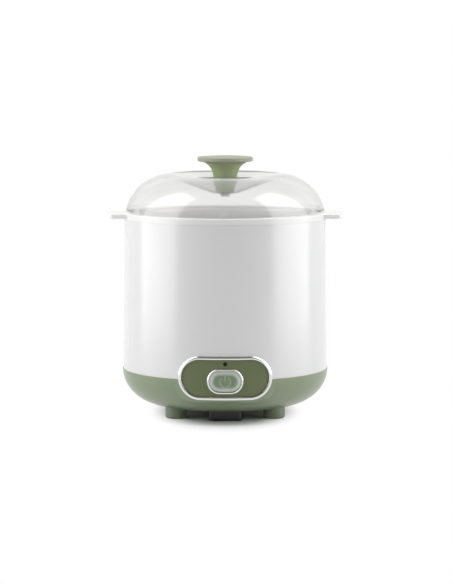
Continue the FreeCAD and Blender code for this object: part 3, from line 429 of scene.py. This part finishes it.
def choose(nodes, links, share, low, high):
    """The first number where the share is nothing and the second where it is one."""
    mixed = nodes.new("ShaderNodeMix")
    links.new(share, mixed.inputs["Factor"])
    links.new(low, mixed.inputs["A"])
    if isinstance(high, float):
        mixed.inputs["B"].default_value = high
    else:
        links.new(high, mixed.inputs["B"])
    return mixed.outputs["Result"]


def mixed_shader(nodes, links, share, first, second):
    """The first shader where the share is nothing and the second where it is one."""
    mix = nodes.new("ShaderNodeMixShader")
    links.new(share, mix.inputs["Fac"])
    links.new(first, mix.inputs[1])
    links.new(second, mix.inputs[2])
    return mix.outputs["Shader"]


def seen_rays(nodes, links, *kinds):
    """One for the kinds of ray named, nothing for the rest."""
    path = nodes.new("ShaderNodeLightPath")
    total = path.outputs[kinds[0]]
    for kind in kinds[1:]:
        total = number(nodes, links, "MAXIMUM", total, path.outputs[kind])
    return total


def grain(nodes, links, scale, detail, stretch=EVEN):
    """Noise in the piece's own space, in cells per metre, drawn out along an axis where asked."""
    place_node = nodes.new("ShaderNodeTexCoord")
    mapping = nodes.new("ShaderNodeMapping")
    mapping.inputs["Scale"].default_value = stretch
    noise = nodes.new("ShaderNodeTexNoise")
    noise.inputs["Scale"].default_value = scale
    noise.inputs["Detail"].default_value = detail
    links.new(place_node.outputs["Object"], mapping.inputs["Vector"])
    links.new(mapping.outputs["Vector"], noise.inputs["Vector"])
    return noise.outputs["Fac"]


def swing(nodes, links, source, low, high):
    """A number between low and high along a noise."""
    return ramped(nodes, links, source, NOISE_LOW, NOISE_HIGH, low, high)


def two_tone(nodes, links, source, colour, spread):
    """A colour that swings by a share of itself, lighter and darker, along a noise."""
    ramp = nodes.new("ShaderNodeValToRGB")
    dark = [c * (1 - spread) for c in colour]
    light = [min(1.0, c * (1 + spread)) for c in colour]
    first, last = ramp.color_ramp.elements
    first.position = NOISE_LOW
    first.color = (*dark, 1)
    last.position = NOISE_HIGH
    last.color = (*light, 1)
    links.new(source, ramp.inputs["Fac"])
    return ramp.outputs["Color"]


def blend_colour(material, share, colour):
    """Turns a finish from its own colour to another by a share from nothing to one."""
    links = material.node_tree.links
    base = material.node_tree.nodes["Principled BSDF"].inputs["Base Color"]
    own = base.links[0].from_socket
    mix = material.node_tree.nodes.new("ShaderNodeMix")
    mix.data_type = "RGBA"
    links.new(share, mix.inputs["Factor"])
    links.new(own, mix.inputs["A"])
    mix.inputs["B"].default_value = (*colour, 1)
    links.new(mix.outputs["Result"], base)
    return material


def moulded(name, colour, rough, spread, peel, peel_depth, metal=0.0, stretch=EVEN,
            specular=0.5, lacquer=0.0, soft_light=0.0):
    """Plastic, rubber or metal: slow colour drift, uneven gloss, and a fine skin in the bump."""
    material, nodes, links = shader_start(name)
    shader = nodes["Principled BSDF"]
    drift = grain(nodes, links, DRIFT_SCALE, DRIFT_DETAIL)
    skin = grain(nodes, links, peel, SKIN_DETAIL, stretch)
    gloss = swing(nodes, links, skin, rough * (1 - GLOSS_SWING), rough * (1 + GLOSS_SWING))
    links.new(two_tone(nodes, links, drift, colour, spread), shader.inputs["Base Color"])
    links.new(gloss, shader.inputs["Roughness"])
    bump = nodes.new("ShaderNodeBump")
    bump.inputs["Strength"].default_value = peel_depth
    bump.inputs["Distance"].default_value = SKIN_HEIGHT
    links.new(skin, bump.inputs["Height"])
    links.new(bump.outputs["Normal"], shader.inputs["Normal"])
    shader.inputs["Metallic"].default_value = metal
    shader.inputs["Specular IOR Level"].default_value = specular
    shader.inputs["Coat Weight"].default_value = lacquer
    shader.inputs["Coat Roughness"].default_value = rough
    if soft_light:
        shader.inputs["Subsurface Weight"].default_value = soft_light
        shader.inputs["Subsurface Radius"].default_value = SOFT_REACH
        shader.inputs["Subsurface Scale"].default_value = 1.0
    return material


# Finishes of the housing's outside

def white_body():
    """Bright white plastic under a thin lacquer."""
    return moulded("white_body", WHITE_BODY, rough=0.22, spread=0.008, peel=500.0, peel_depth=0.004,
                   lacquer=0.52)


def sage_green():
    """Smooth green plastic, with painted shade on the lug: near black below the lug's top, within its
    width, and between its front and the upright axis, where the lug sits in the shade under the base."""
    material = moulded("sage_green", SAGE_GREEN, rough=0.28, spread=0.015, peel=500.0, peel_depth=0.003)
    nodes = material.node_tree.nodes
    links = material.node_tree.links
    spot = three_numbers(nodes, links, "Object")
    lug = number(nodes, links, "LESS_THAN", spot["Z"], LUG_TOP_Z * MM)
    across = number(nodes, links, "ABSOLUTE", spot["X"])
    across = number(nodes, links, "LESS_THAN", across, (LUG_WIDTH / 2 + LUG_MARGIN) * MM)
    behind = number(nodes, links, "GREATER_THAN", spot["Y"], -(LUG_FRONT + LUG_MARGIN) * MM)
    front = number(nodes, links, "LESS_THAN", spot["Y"], 0.0)
    for limit in (across, behind, front):
        lug = number(nodes, links, "MULTIPLY", lug, limit)
    # Painted shade: the lug's green turns near black, standing in for the shade under the base
    return blend_colour(material, lug, LUG_PAINTED_SHADE)


def sage_rubber():
    """Dull green of the feet."""
    return moulded("sage_rubber", FOOT_GREEN, rough=0.55, spread=0.05, peel=900.0, peel_depth=0.05)


def panel_green():
    """Dark green of the control panel, with a fine skin."""
    return moulded("panel_green", PANEL_GREEN, rough=0.34, spread=0.02, peel=1500.0, peel_depth=0.015)


def button_green():
    """Green with a painted highlight towards the button's edge, standing in for light caught by its bevel:
    the share grows with the distance from the middle line of the button's stadium, between two distances
    inside its outline."""
    material = moulded("button_green", BUTTON_GREEN, rough=0.28, spread=0.02, peel=1500.0, peel_depth=0.01)
    nodes = material.node_tree.nodes
    links = material.node_tree.links
    spot = three_numbers(nodes, links, "Object")
    across = number(nodes, links, "ABSOLUTE", spot["X"])
    across = number(nodes, links, "SUBTRACT", across, (BUTTON_WIDTH - BUTTON_HEIGHT) / 2 * MM)
    across = number(nodes, links, "MAXIMUM", across, 0.0)
    across = number(nodes, links, "POWER", across, 2.0)
    upward = number(nodes, links, "SUBTRACT", spot["Z"], BUTTON_MID_Z * MM)
    upward = number(nodes, links, "ABSOLUTE", upward)
    upward = number(nodes, links, "POWER", upward, 2.0)
    reach = number(nodes, links, "ADD", across, upward)
    reach = number(nodes, links, "SQRT", reach)
    start = (BUTTON_HEIGHT / 2 - HIGHLIGHT_EDGE_START) * MM
    full = (BUTTON_HEIGHT / 2 - HIGHLIGHT_EDGE_FULL) * MM
    # Painted highlight: the green turns pale towards the button's edge
    return blend_colour(material, eased(nodes, links, reach, start, full), BUTTON_PAINTED_HIGHLIGHT)


def sign_pale():
    """Slightly paler green of the raised sign."""
    return moulded("sign_pale", SIGN_PALE, rough=0.35, spread=0.02, peel=1500.0, peel_depth=0.02)


def chrome_trim():
    """Bright plating of the bezel and the ring."""
    return moulded("chrome_trim", CHROME, rough=0.07, spread=0.01, peel=300.0, peel_depth=0.01, metal=1.0)


def dark_lens():
    """Nearly black lens of the indicator."""
    return moulded("dark_lens", LENS_DARK, rough=0.45, spread=0.10, peel=500.0, peel_depth=0.0,
                   specular=0.2)


def gland_rubber():
    """Grey rubber of the cord gland."""
    return moulded("gland_rubber", GLAND_GREY, rough=0.60, spread=0.05, peel=900.0, peel_depth=0.08)


# Finishes of the tub and the lid

def tub_plastic():
    """White plastic that lets a little light in."""
    return moulded("tub_plastic", TUB_WHITE, rough=0.24, spread=0.01, peel=400.0, peel_depth=0.006,
                   soft_light=0.25)


def clear_dome():
    """Clear moulded plastic: a refracting wall that greys with its depth and that lamps shine straight
    through, a little dulled, with the lip below the tub's rim frosted."""
    material, nodes, links = shader_start("clear_dome")
    shader = nodes["Principled BSDF"]
    output = nodes["Material Output"]
    haze = grain(nodes, links, DOME_HAZE_SCALE, DRIFT_DETAIL)
    gloss = swing(nodes, links, haze, DOME_ROUGH_LOW, DOME_ROUGH_HIGH)
    links.new(gloss, shader.inputs["Roughness"])
    links.new(two_tone(nodes, links, haze, DOME_TINT, DOME_HAZE_SPREAD), shader.inputs["Base Color"])
    shader.inputs["Transmission Weight"].default_value = 1.0
    shader.inputs["IOR"].default_value = DOME_IOR
    shader.inputs["Coat Weight"].default_value = DOME_COAT
    shader.inputs["Coat IOR"].default_value = DOME_COAT_IOR
    shader.inputs["Coat Roughness"].default_value = DOME_COAT_ROUGH
    depth = nodes.new("ShaderNodeVolumeAbsorption")
    depth.inputs["Color"].default_value = (*DOME_DEPTH_TINT, 1)
    depth.inputs["Density"].default_value = DOME_DEPTH_DENSITY
    links.new(depth.outputs["Volume"], output.inputs["Volume"])
    frost = nodes.new("ShaderNodeBsdfTranslucent")
    spot = three_numbers(nodes, links, "Object")
    lip = number(nodes, links, "LESS_THAN", spot["Z"], RIM_TOP_Z * MM)
    wall = mixed_shader(nodes, links, lip, shader.outputs["BSDF"], frost.outputs["BSDF"])
    passing = nodes.new("ShaderNodeBsdfTransparent")
    passing.inputs["Color"].default_value = (*DOME_SHADE_TINT, 1)
    lit = seen_rays(nodes, links, "Is Shadow Ray", "Is Diffuse Ray")
    surface = mixed_shader(nodes, links, lit, wall, passing.outputs["BSDF"])
    links.new(surface, output.inputs["Surface"])
    return material


def knob_green():
    """Dull green with a painted sheen: pale over the flare with the distance from the upright axis, and
    pale all over the disc above it, standing in for the rim-lit, grazing reflections on those surfaces."""
    material = moulded("knob_green", NECK_GREEN, rough=0.50, spread=0.015, peel=500.0, peel_depth=0.003,
                       specular=0.10)
    nodes = material.node_tree.nodes
    links = material.node_tree.links
    reach = scaled_reach(nodes, links, ACROSS_AXIS)
    flare = eased(nodes, links, reach, SHEEN_PAINT_START * MM, SHEEN_PAINT_FULL * MM)
    spot = three_numbers(nodes, links, "Object")
    disc = number(nodes, links, "GREATER_THAN", spot["Z"], KNOB_FLARE_Z * MM)
    # Painted sheen: pale colour over the flare and the disc top in place of their reflections
    return blend_colour(material, number(nodes, links, "MAXIMUM", disc, flare), KNOB_PAINTED_SHEEN)


# Finishes of the pieces inside

def indicator_lamp():
    """Red plastic of the lamp behind the lens."""
    return moulded("lamp", LAMP_RED, rough=0.15, spread=0.05, peel=500.0, peel_depth=0.0)


def plated_steel():
    """Dull plating of screws, washer and clip, with its marks drawn out sideways."""
    return moulded("plated_steel", SCREW_STEEL, rough=0.48, spread=0.06, peel=1200.0, peel_depth=0.08,
                   metal=1.0, stretch=(1, 1, 8))


def plate_metal():
    """Brushed aluminium of the heater plate and its cover."""
    return moulded("plate_metal", PLATE_ALUMINIUM, rough=0.34, spread=0.05, peel=900.0, peel_depth=0.10,
                   metal=1.0, stretch=(1, 10, 1))


def seal_rubber():
    """Pale grey rubber of the plate seal."""
    return moulded("seal_rubber", SEAL_GREY, rough=0.60, spread=0.05, peel=800.0, peel_depth=0.06)


def element_mat():
    """Coarse red-brown mat of the heater element."""
    return moulded("element_mat", ELEMENT_BROWN, rough=0.65, spread=0.10, peel=1200.0, peel_depth=0.20)


def dark_plastic():
    """Black plastic of the thermostat and the switch."""
    return moulded("dark_plastic", SWITCH_BLACK, rough=0.45, spread=0.08, peel=900.0, peel_depth=0.06)


def plunger_plastic():
    """Off-white plastic of the switch plunger and the terminal block."""
    return moulded("plunger_plastic", PLUNGER_WHITE, rough=0.40, spread=0.03, peel=700.0, peel_depth=0.03)


def fuse_sleeve():
    """Woven cream sleeve of the thermal fuse."""
    return moulded("fuse_sleeve", SLEEVE_CREAM, rough=0.80, spread=0.08, peel=2500.0, peel_depth=0.40)


def circuit_board():
    """Green board with a faint weave."""
    return moulded("board", BOARD_GREEN, rough=0.35, spread=0.15, peel=500.0, peel_depth=0.06,
                   stretch=(1, 1, 6))


def smooth_wire(name, colour):
    """Soft plastic skin of a wire."""
    return moulded(name, colour, rough=0.50, spread=0.06, peel=900.0, peel_depth=0.04)


def woven_wire(name):
    """Woven cream skin of a wire that lies near the heat."""
    return moulded(name, WIRE_CREAM, rough=0.60, spread=0.06, peel=900.0, peel_depth=0.10)


def make_finishes():
    """Every slot's finish by the slot's name, and those of the knob and the sign."""
    return {
        "white_body": white_body(),
        "sage_green": sage_green(),
        "knob_green": knob_green(),
        "sage_rubber": sage_rubber(),
        "panel_green": panel_green(),
        "button_green": button_green(),
        "sign_pale": sign_pale(),
        "chrome_trim": chrome_trim(),
        "tub_plastic": tub_plastic(),
        "clear_dome": clear_dome(),
        "dark_lens": dark_lens(),
        "lamp": indicator_lamp(),
        "plated_steel": plated_steel(),
        "plate_metal": plate_metal(),
        "seal_rubber": seal_rubber(),
        "element_mat": element_mat(),
        "dark_plastic": dark_plastic(),
        "plunger_plastic": plunger_plastic(),
        "fuse_sleeve": fuse_sleeve(),
        "board": circuit_board(),
        "gland_rubber": gland_rubber(),
        "live_wire": smooth_wire("live_wire", WIRE_BROWN),
        "lamp_wire": smooth_wire("lamp_wire", WIRE_BLUE),
        "switch_wire": smooth_wire("switch_wire", WIRE_BLACK),
        "neutral_wire": smooth_wire("neutral_wire", WIRE_BLUE),
        "fuse_wire": woven_wire("fuse_wire"),
        "heater_wire": woven_wire("heater_wire"),
    }


# Pieces of the housing

def smooth_copy(node):
    """The solid's own surface with its loose triangles joined, so that round walls shade smoothly."""
    mesh = frame["nodes"][node].data.copy()
    mesh.materials.clear()
    work = bmesh.new()
    work.from_mesh(mesh)
    bmesh.ops.remove_doubles(work, verts=work.verts, dist=MERGE_DISTANCE)
    work.to_mesh(mesh)
    work.free()
    mesh.attributes.remove(mesh.attributes["custom_normal"])
    shade_round(mesh, SOLID_SHARP_DEG)
    return place(node + "_skin", mesh, node_bodies[node], node_slots[node], (node,))


def shell_radius(z):
    """Radius of the tapered shell at a height: a straight run from its foot to its top."""
    share = (z - SEAM_Z) / (SHELL_TOP_Z - SEAM_Z)
    return SHELL_FOOT_RADIUS + (SHELL_TOP_RADIUS - SHELL_FOOT_RADIUS) * np.clip(share, 0, 1)


def rounded_band(inner, outer, back, seat, face, spigot, corner, fall, drop):
    """Closed section of a band: up the opening, round a small corner onto the face, down a wide elliptic
    corner to the seat, and back along the spigot. Numbers are the distance out from the opening and from
    the upright axis. The third and second points from the end lie on the seat."""
    near = quarter((inner, face - corner), (inner, face), (inner + corner, face), BAND_INNER_STEPS)
    far = quarter((outer - fall, face), (outer, face), (outer, face - drop), BAND_OUTER_STEPS)
    return np.vstack([[(inner, back)], near, far, [(outer, seat), (spigot, seat), (spigot, back)]])


def panel_bezel():
    """Bright band on a stadium round the panel; its seat follows the shell above the seam and the
    pod below it."""
    section = rounded_band(0, BEZEL_WIDTH, BEZEL_BACK, BASE_RADIUS, BEZEL_FACE, BEZEL_SPIGOT,
                           BEZEL_INNER_ROUND, BEZEL_OUTER_ROUND, BEZEL_OUTER_DROP)
    points, normals = stadium_path(PANEL_WIDTH, PANEL_HEIGHT)
    profile = np.broadcast_to(section, (len(points), *section.shape)).copy()
    z = points[:, 1] + normals[:, 1] * BEZEL_WIDTH + PANEL_MID_Z
    seat = np.where(z > SEAM_Z, shell_radius(z), BASE_RADIUS)
    profile[:, -3:-1, 1] = seat[:, None]
    band = band_on_front(PANEL_WIDTH, PANEL_HEIGHT, PANEL_MID_Z, profile)
    mesh = mesh_from_grid("panel_bezel_band", band, True, True)
    finish_mesh(mesh, BAND_SHARP_DEG)
    return place("panel_bezel_band", mesh, "housing", "chrome_trim", ("panel_bezel",))


def button_ring():
    """Bright band on a stadium round the button, standing on the panel."""
    section = rounded_band(BUTTON_GAP, BUTTON_GAP + RING_RIM, RING_BACK, RING_SEAT, RING_FACE,
                           BUTTON_GAP + RING_SPIGOT, RING_INNER_ROUND, RING_OUTER_ROUND, RING_OUTER_DROP)
    points, _ = stadium_path(BUTTON_WIDTH, BUTTON_HEIGHT)
    profile = np.broadcast_to(section, (len(points), *section.shape))
    band = band_on_front(BUTTON_WIDTH, BUTTON_HEIGHT, BUTTON_MID_Z, profile)
    mesh = mesh_from_grid("button_ring_band", band, True, True)
    finish_mesh(mesh, BAND_SHARP_DEG)
    return place("button_ring_band", mesh, "housing", "chrome_trim", ("button_ring",))


def stroke_mesh(name, line):
    """A raised stroke: a half-round section, flat behind, carried along a line in the button's face,
    with the line's own normal across it."""
    along = np.gradient(line, axis=0)
    along /= np.linalg.norm(along, axis=1, keepdims=True)
    across = np.stack([-along[:, 1], along[:, 0]], axis=1)
    half = SIGN_STROKE / 2
    turn = np.radians(np.linspace(0, 180, SIGN_SECTION_STEPS))
    side = np.concatenate([half * np.cos(turn), [-half, half]])
    depth = np.concatenate([SIGN_PROUD * np.sin(turn), [-SIGN_SINK, -SIGN_SINK]])
    x = line[:, 0][:, None] + across[:, 0][:, None] * side
    z = line[:, 1][:, None] + across[:, 1][:, None] * side + BUTTON_MID_Z - SIGN_DROP
    y = np.broadcast_to(-BUTTON_FACE - depth, x.shape)
    grid = np.stack([x, y, z], axis=2)
    ends = [np.broadcast_to(grid[row].mean(axis=0), grid[:1].shape) for row in (0, -1)]
    mesh = mesh_from_grid(name, np.concatenate([ends[0], grid, ends[1]]), False, True)
    finish_mesh(mesh, SIGN_SHARP_DEG)
    return mesh


def power_sign():
    """Open ring and upright bar, the common sign for on and off."""
    turn = np.radians(np.linspace(90 + SIGN_GAP_DEG, 450 - SIGN_GAP_DEG, SIGN_RING_STEPS))
    ring = np.stack([SIGN_RADIUS * np.cos(turn), SIGN_RADIUS * np.sin(turn)], axis=1)
    level = np.linspace(SIGN_BAR_LOW, SIGN_BAR_HIGH, SIGN_BAR_STEPS)
    bar = np.stack([np.zeros(SIGN_BAR_STEPS), level], axis=1)
    for name, line in (("power_sign_ring", ring), ("power_sign_bar", bar)):
        piece = place(name, stroke_mesh(name, line), "button", "button_green")
        piece.data.materials[0] = finishes["sign_pale"]


# Lid

def dome_section():
    """Closed section of the dome: outer arc from the edge to the crest, small crest arc, straight
    funnel, floor to the screw hole, then the same one wall further in, and the lip that hangs inside
    the tub's rim."""
    drop = DOME_ARC - DOME_RISE
    crest_r = LID_EDGE_RADIUS - math.sqrt(DOME_ARC ** 2 - drop ** 2)
    crest_z = RIM_TOP_Z + DOME_RISE
    seat = crest_z - FUNNEL_DEPTH
    dome_centre = (crest_r, crest_z - DOME_ARC)
    crest_centre = (crest_r, crest_z - CREST_ROUND)
    floor_centre = (FUNNEL_FLOOR_RADIUS, seat + FUNNEL_ROUND)
    across = crest_centre[0] - floor_centre[0]
    down = crest_centre[1] - floor_centre[1]
    lean = math.atan2(down, across) + math.asin((CREST_ROUND + FUNNEL_ROUND) / math.hypot(across, down))
    tilt = math.degrees(lean)
    edge_deg = math.degrees(math.asin((drop + LID_SEAT_LIFT) / DOME_ARC))
    low_deg = math.degrees(math.asin((NOTCH_TOP_Z + NOTCH_SLOPE - dome_centre[1]) / DOME_ARC))
    inner_arc = DOME_ARC - LID_WALL
    lip_deg = math.degrees(math.asin((LIP_TOP_Z - dome_centre[1]) / inner_arc))
    outer = np.vstack([
        arc(dome_centre, DOME_ARC, edge_deg, low_deg),
        arc(dome_centre, DOME_ARC, low_deg, 90, DOME_STEPS + 1)[1:],
        arc(crest_centre, CREST_ROUND, 90, 90 + tilt)[1:],
        arc(floor_centre, FUNNEL_ROUND, -90 + tilt, -90),
        [(LID_HOLE_RADIUS, seat), (LID_HOLE_RADIUS, seat - LID_WALL)],
    ])
    inner = np.vstack([
        arc(floor_centre, FUNNEL_ROUND + LID_WALL, -90, -90 + tilt),
        arc(crest_centre, CREST_ROUND - LID_WALL, 90 + tilt, 90),
        arc(dome_centre, inner_arc, 90, lip_deg, DOME_STEPS)[1:],
        [(LIP_INNER_RADIUS, LIP_TOP_Z)],
    ])
    lip_z = np.linspace(LIP_TOP_Z - LIP_FIRST_STEP, LIP_LOW_Z, LIP_STEPS)
    lip = np.stack([np.full(LIP_STEPS, LIP_INNER_RADIUS), lip_z], axis=1)
    edge = np.array([(LIP_OUTER_RADIUS, LIP_LOW_Z), (LIP_OUTER_RADIUS, RIM_TOP_Z + LID_SEAT_LIFT)])
    return np.vstack([outer, inner, lip, edge])


def notch_depth(x, z):
    """How far the front notch is set in: nothing on its outline, growing to the full depth over the
    width of its sloping sides, and level inside them."""
    from_side = NOTCH_HALF_WIDTH - np.abs(x)
    from_top = NOTCH_TOP_Z - z
    return NOTCH_DEPTH * np.clip(np.minimum(from_side, from_top) / NOTCH_SLOPE, 0, 1)


def dome():
    """The section carried round the axis, with extra columns at the front notch, where the outer wall is
    set in. The outer wall is the section's first two arcs."""
    section = dome_section()
    notch = np.linspace(-NOTCH_HALF_WIDTH, NOTCH_HALF_WIDTH, NOTCH_STEPS)
    across = np.arcsin(notch / LID_EDGE_RADIUS)
    rest = np.linspace(across[-1], 2 * math.pi - across[-1], TURN_STEPS)[1:-1]
    turn = np.concatenate([across, rest])[:, None]
    radius = np.broadcast_to(section[:, 0], (len(turn), len(section)))
    height = np.broadcast_to(section[:, 1], radius.shape)
    outside = np.arange(len(section)) < ARC_STEPS + DOME_STEPS
    front = outside & (np.cos(turn) > 0)
    set_in = notch_depth(np.sin(turn) * LID_EDGE_RADIUS, height)
    radius = np.where(front, radius - set_in, radius)
    points = np.stack([radius * np.sin(turn), -radius * np.cos(turn), height], axis=2)
    mesh = mesh_from_grid("dome_wall", points, True, True)
    finish_mesh(mesh, LID_SHARP_DEG)
    return place("dome_wall", mesh, "lid", "clear_dome", ("dome_lid",))


def knob():
    """Trumpet section carried round the axis: tapered stem, elliptic flare, rounded edge, crowned top."""
    slope = (KNOB_NECK_RADIUS - KNOB_FOOT_RADIUS) / (KNOB_NECK_Z - KNOB_SEAT_Z)
    rim = KNOB_RADIUS - KNOB_EDGE_ROUND
    top_edge = KNOB_FLARE_Z + KNOB_EDGE
    crown = KNOB_TOP_Z - top_edge
    crown_radius = (rim ** 2 + crown ** 2) / (2 * crown)
    start = math.degrees(math.acos(rim / crown_radius))
    foot = (KNOB_FOOT_RADIUS, KNOB_SEAT_Z)
    neck = (KNOB_NECK_RADIUS, KNOB_NECK_Z)
    corner = (KNOB_NECK_RADIUS + slope * (KNOB_FLARE_Z - KNOB_NECK_Z), KNOB_FLARE_Z)
    section = np.vstack([
        [(0.0, KNOB_SEAT_Z)],
        np.linspace(foot, neck, STEM_STEPS),
        quarter(neck, corner, (rim, KNOB_FLARE_Z), FLARE_STEPS)[1:],
        arc((rim, KNOB_FLARE_Z + KNOB_EDGE_ROUND), KNOB_EDGE_ROUND, -90, 0, KNOB_EDGE_STEPS)[1:],
        arc((rim, top_edge - KNOB_EDGE_ROUND), KNOB_EDGE_ROUND, 0, 90, KNOB_EDGE_STEPS),
        arc((0.0, KNOB_TOP_Z - crown_radius), crown_radius, start, 90)[1:],
    ])
    mesh = mesh_from_grid("knob_turned", turned(section), True, False)
    finish_mesh(mesh, LID_SHARP_DEG)
    piece = place("knob_turned", mesh, "lid", "sage_green", ("lid_knob",))
    piece.data.materials[0] = finishes["knob_green"]
    return piece


# Stage

def floor_finish():
    """Pale floor that takes the shadow near the object and turns to the white of the backdrop further
    out, where it is seen or mirrored."""
    material, nodes, links = shader_start("floor_white")
    shader = nodes["Principled BSDF"]
    speck = grain(nodes, links, FLOOR_SPECK_SCALE, DRIFT_DETAIL)
    pale = (FLOOR_GREY, FLOOR_GREY, FLOOR_GREY)
    links.new(two_tone(nodes, links, speck, pale, FLOOR_SPECK_SPREAD), shader.inputs["Base Color"])
    shader.inputs["Roughness"].default_value = FLOOR_ROUGH
    shader.inputs["Specular IOR Level"].default_value = 0.0
    reach = scaled_reach(nodes, links, (FADE_NARROW, 1.0, 1.0))
    fade = eased(nodes, links, reach, FADE_START, FADE_END)
    seen = seen_rays(nodes, links, "Is Camera Ray", "Is Glossy Ray", "Is Transmission Ray")
    share = number(nodes, links, "MULTIPLY", seen, fade)
    white = nodes.new("ShaderNodeEmission")
    white.inputs["Strength"].default_value = BACKDROP_WHITE
    surface = mixed_shader(nodes, links, share, shader.outputs["BSDF"], white.outputs["Emission"])
    links.new(surface, nodes["Material Output"].inputs["Surface"])
    return material


def card_finish(name, level):
    """Even glow of a given strength."""
    material, nodes, links = shader_start(name)
    glow = nodes.new("ShaderNodeEmission")
    glow.inputs["Strength"].default_value = level
    links.new(glow.outputs["Emission"], nodes["Material Output"].inputs["Surface"])
    return material


def stage_sheet(name, corners, material):
    """Flat sheet between four corners, as part of the stage."""
    mesh = bpy.data.meshes.new(name)
    mesh.from_pydata(np.array(corners, float).tolist(), [], [(0, 1, 2, 3)])
    mesh.materials.append(material)
    piece = bpy.data.objects.new(name, mesh)
    bpy.context.scene.collection.objects.link(piece)
    return piece


def floor():
    """Wide flat square under the object."""
    half = FLOOR_SIZE / 2
    corners = [(-half, -half, 0), (half, -half, 0), (half, half, 0), (-half, half, 0)]
    stage_sheet("floor", corners, floor_finish())


def beside(azimuth, side, z):
    """A place at the side lamps' distance from the upright axis, turned from the front by an azimuth to
    the left or the right."""
    angle = math.radians(azimuth)
    return np.array([side * SIDE_DISTANCE * math.sin(angle), -SIDE_DISTANCE * math.cos(angle), z])


def card(name, side):
    """Bright upright sheet beside the object, square to the line from the upright axis, that only
    reflections show."""
    middle = beside(CARD_AZIMUTH, side, CARD_CENTRE_Z)
    along = np.array([-middle[1], middle[0], 0.0]) / SIDE_DISTANCE * CARD_WIDTH / 2
    up = np.array([0.0, 0.0, CARD_HEIGHT / 2])
    corners = [middle - along - up, middle + along - up, middle + along + up, middle - along + up]
    piece = stage_sheet(name, corners, card_finish(name, CARD_LEVEL))
    piece.visible_camera = False
    piece.visible_diffuse = False
    piece.visible_transmission = False
    piece.visible_shadow = False


def turn_towards(piece, place_from, aim):
    """Puts a lamp or camera at a place and turns it to look at an aim."""
    piece.location = place_from
    piece.rotation_euler = (Vector(aim) - Vector(place_from)).to_track_quat("-Z", "Y").to_euler()
    bpy.context.scene.collection.objects.link(piece)


def lamp_panel(name, location, aim, width, height, power):
    """Soft lamp that lights surfaces and isn't itself seen or mirrored."""
    light = bpy.data.lights.new(name, "AREA")
    light.shape = "RECTANGLE"
    light.size = width
    light.size_y = height
    light.energy = power
    lamp = bpy.data.objects.new(name, light)
    turn_towards(lamp, location, aim)
    lamp.visible_camera = False
    lamp.visible_glossy = False
    lamp.visible_transmission = False


def lamps():
    """A lamp and a bright sheet on either side, the left lamp a little stronger, and a lamp overhead."""
    for name, side, share in (("lamp_left", -1, LEFT_SHARE), ("lamp_right", 1, 1.0)):
        location = beside(SIDE_AZIMUTH, side, SIDE_CENTRE_Z)
        lamp_panel(name, location, (0, 0, SIDE_CENTRE_Z), SIDE_WIDTH, SIDE_HEIGHT, SIDE_POWER * share)
        card(name + "_card", side)
    lamp_panel("lamp_top", (0, 0, TOP_Z), (0, 0, 0), TOP_SIZE, TOP_SIZE, TOP_POWER)


def surroundings():
    """White where it is seen, directly or through clear pieces; white behind and grey in front where it
    is mirrored, dimmer overhead; and a soft grey room for the light it gives."""
    world = bpy.data.worlds.new("studio")
    bpy.context.scene.world = world
    world.use_nodes = True
    nodes = world.node_tree.nodes
    links = world.node_tree.links
    back = nodes["Background"]
    way = three_numbers(nodes, links, "Generated")
    lighting = ramped(nodes, links, way["Y"], FRONT_END_Y, BACK_START_Y, ROOM_FRONT, ROOM_BACK)
    walls = ramped(nodes, links, way["Y"], FRONT_END_Y, BACK_START_Y, MIRROR_FRONT, BACKDROP_WHITE)
    overhead = ramped(nodes, links, way["Z"], CEILING_START_Z, CEILING_FULL_Z, 1.0, MIRROR_CEILING)
    mirrored = number(nodes, links, "MULTIPLY", walls, overhead)
    glossy = seen_rays(nodes, links, "Is Glossy Ray")
    seen = seen_rays(nodes, links, "Is Camera Ray", "Is Transmission Ray")
    level = choose(nodes, links, glossy, lighting, mirrored)
    level = choose(nodes, links, seen, level, BACKDROP_WHITE)
    links.new(level, back.inputs["Strength"])
    back.inputs["Color"].default_value = (1, 1, 1, 1)


def camera():
    """Long lens in front of the object, a little above it."""
    lens = bpy.data.cameras.new("camera")
    lens.lens = CAMERA_LENS
    lens.sensor_width = CAMERA_SENSOR
    lens.clip_end = CAMERA_FAR
    eye = bpy.data.objects.new("camera", lens)
    turn_towards(eye, CAMERA_PLACE, CAMERA_AIM)
    bpy.context.scene.camera = eye


node_slots = {part["node"]: part["material_slot"] for part in frame["record"]["subparts"]}
node_bodies = {}
for body, members in frame["record"]["behaviour"]["bodies"].items():
    node_bodies.update((node, body) for node in members)
finishes = make_finishes()

for node, piece in frame["nodes"].items():
    piece.data.materials.clear()
    piece.data.materials.append(finishes[node_slots[node]])

for node in SMOOTHED_NODES:
    smooth_copy(node)
panel_bezel()
button_ring()
power_sign()
dome()
knob()

floor()
lamps()
surroundings()
camera()
bpy.context.scene.view_settings.view_transform = "Standard"
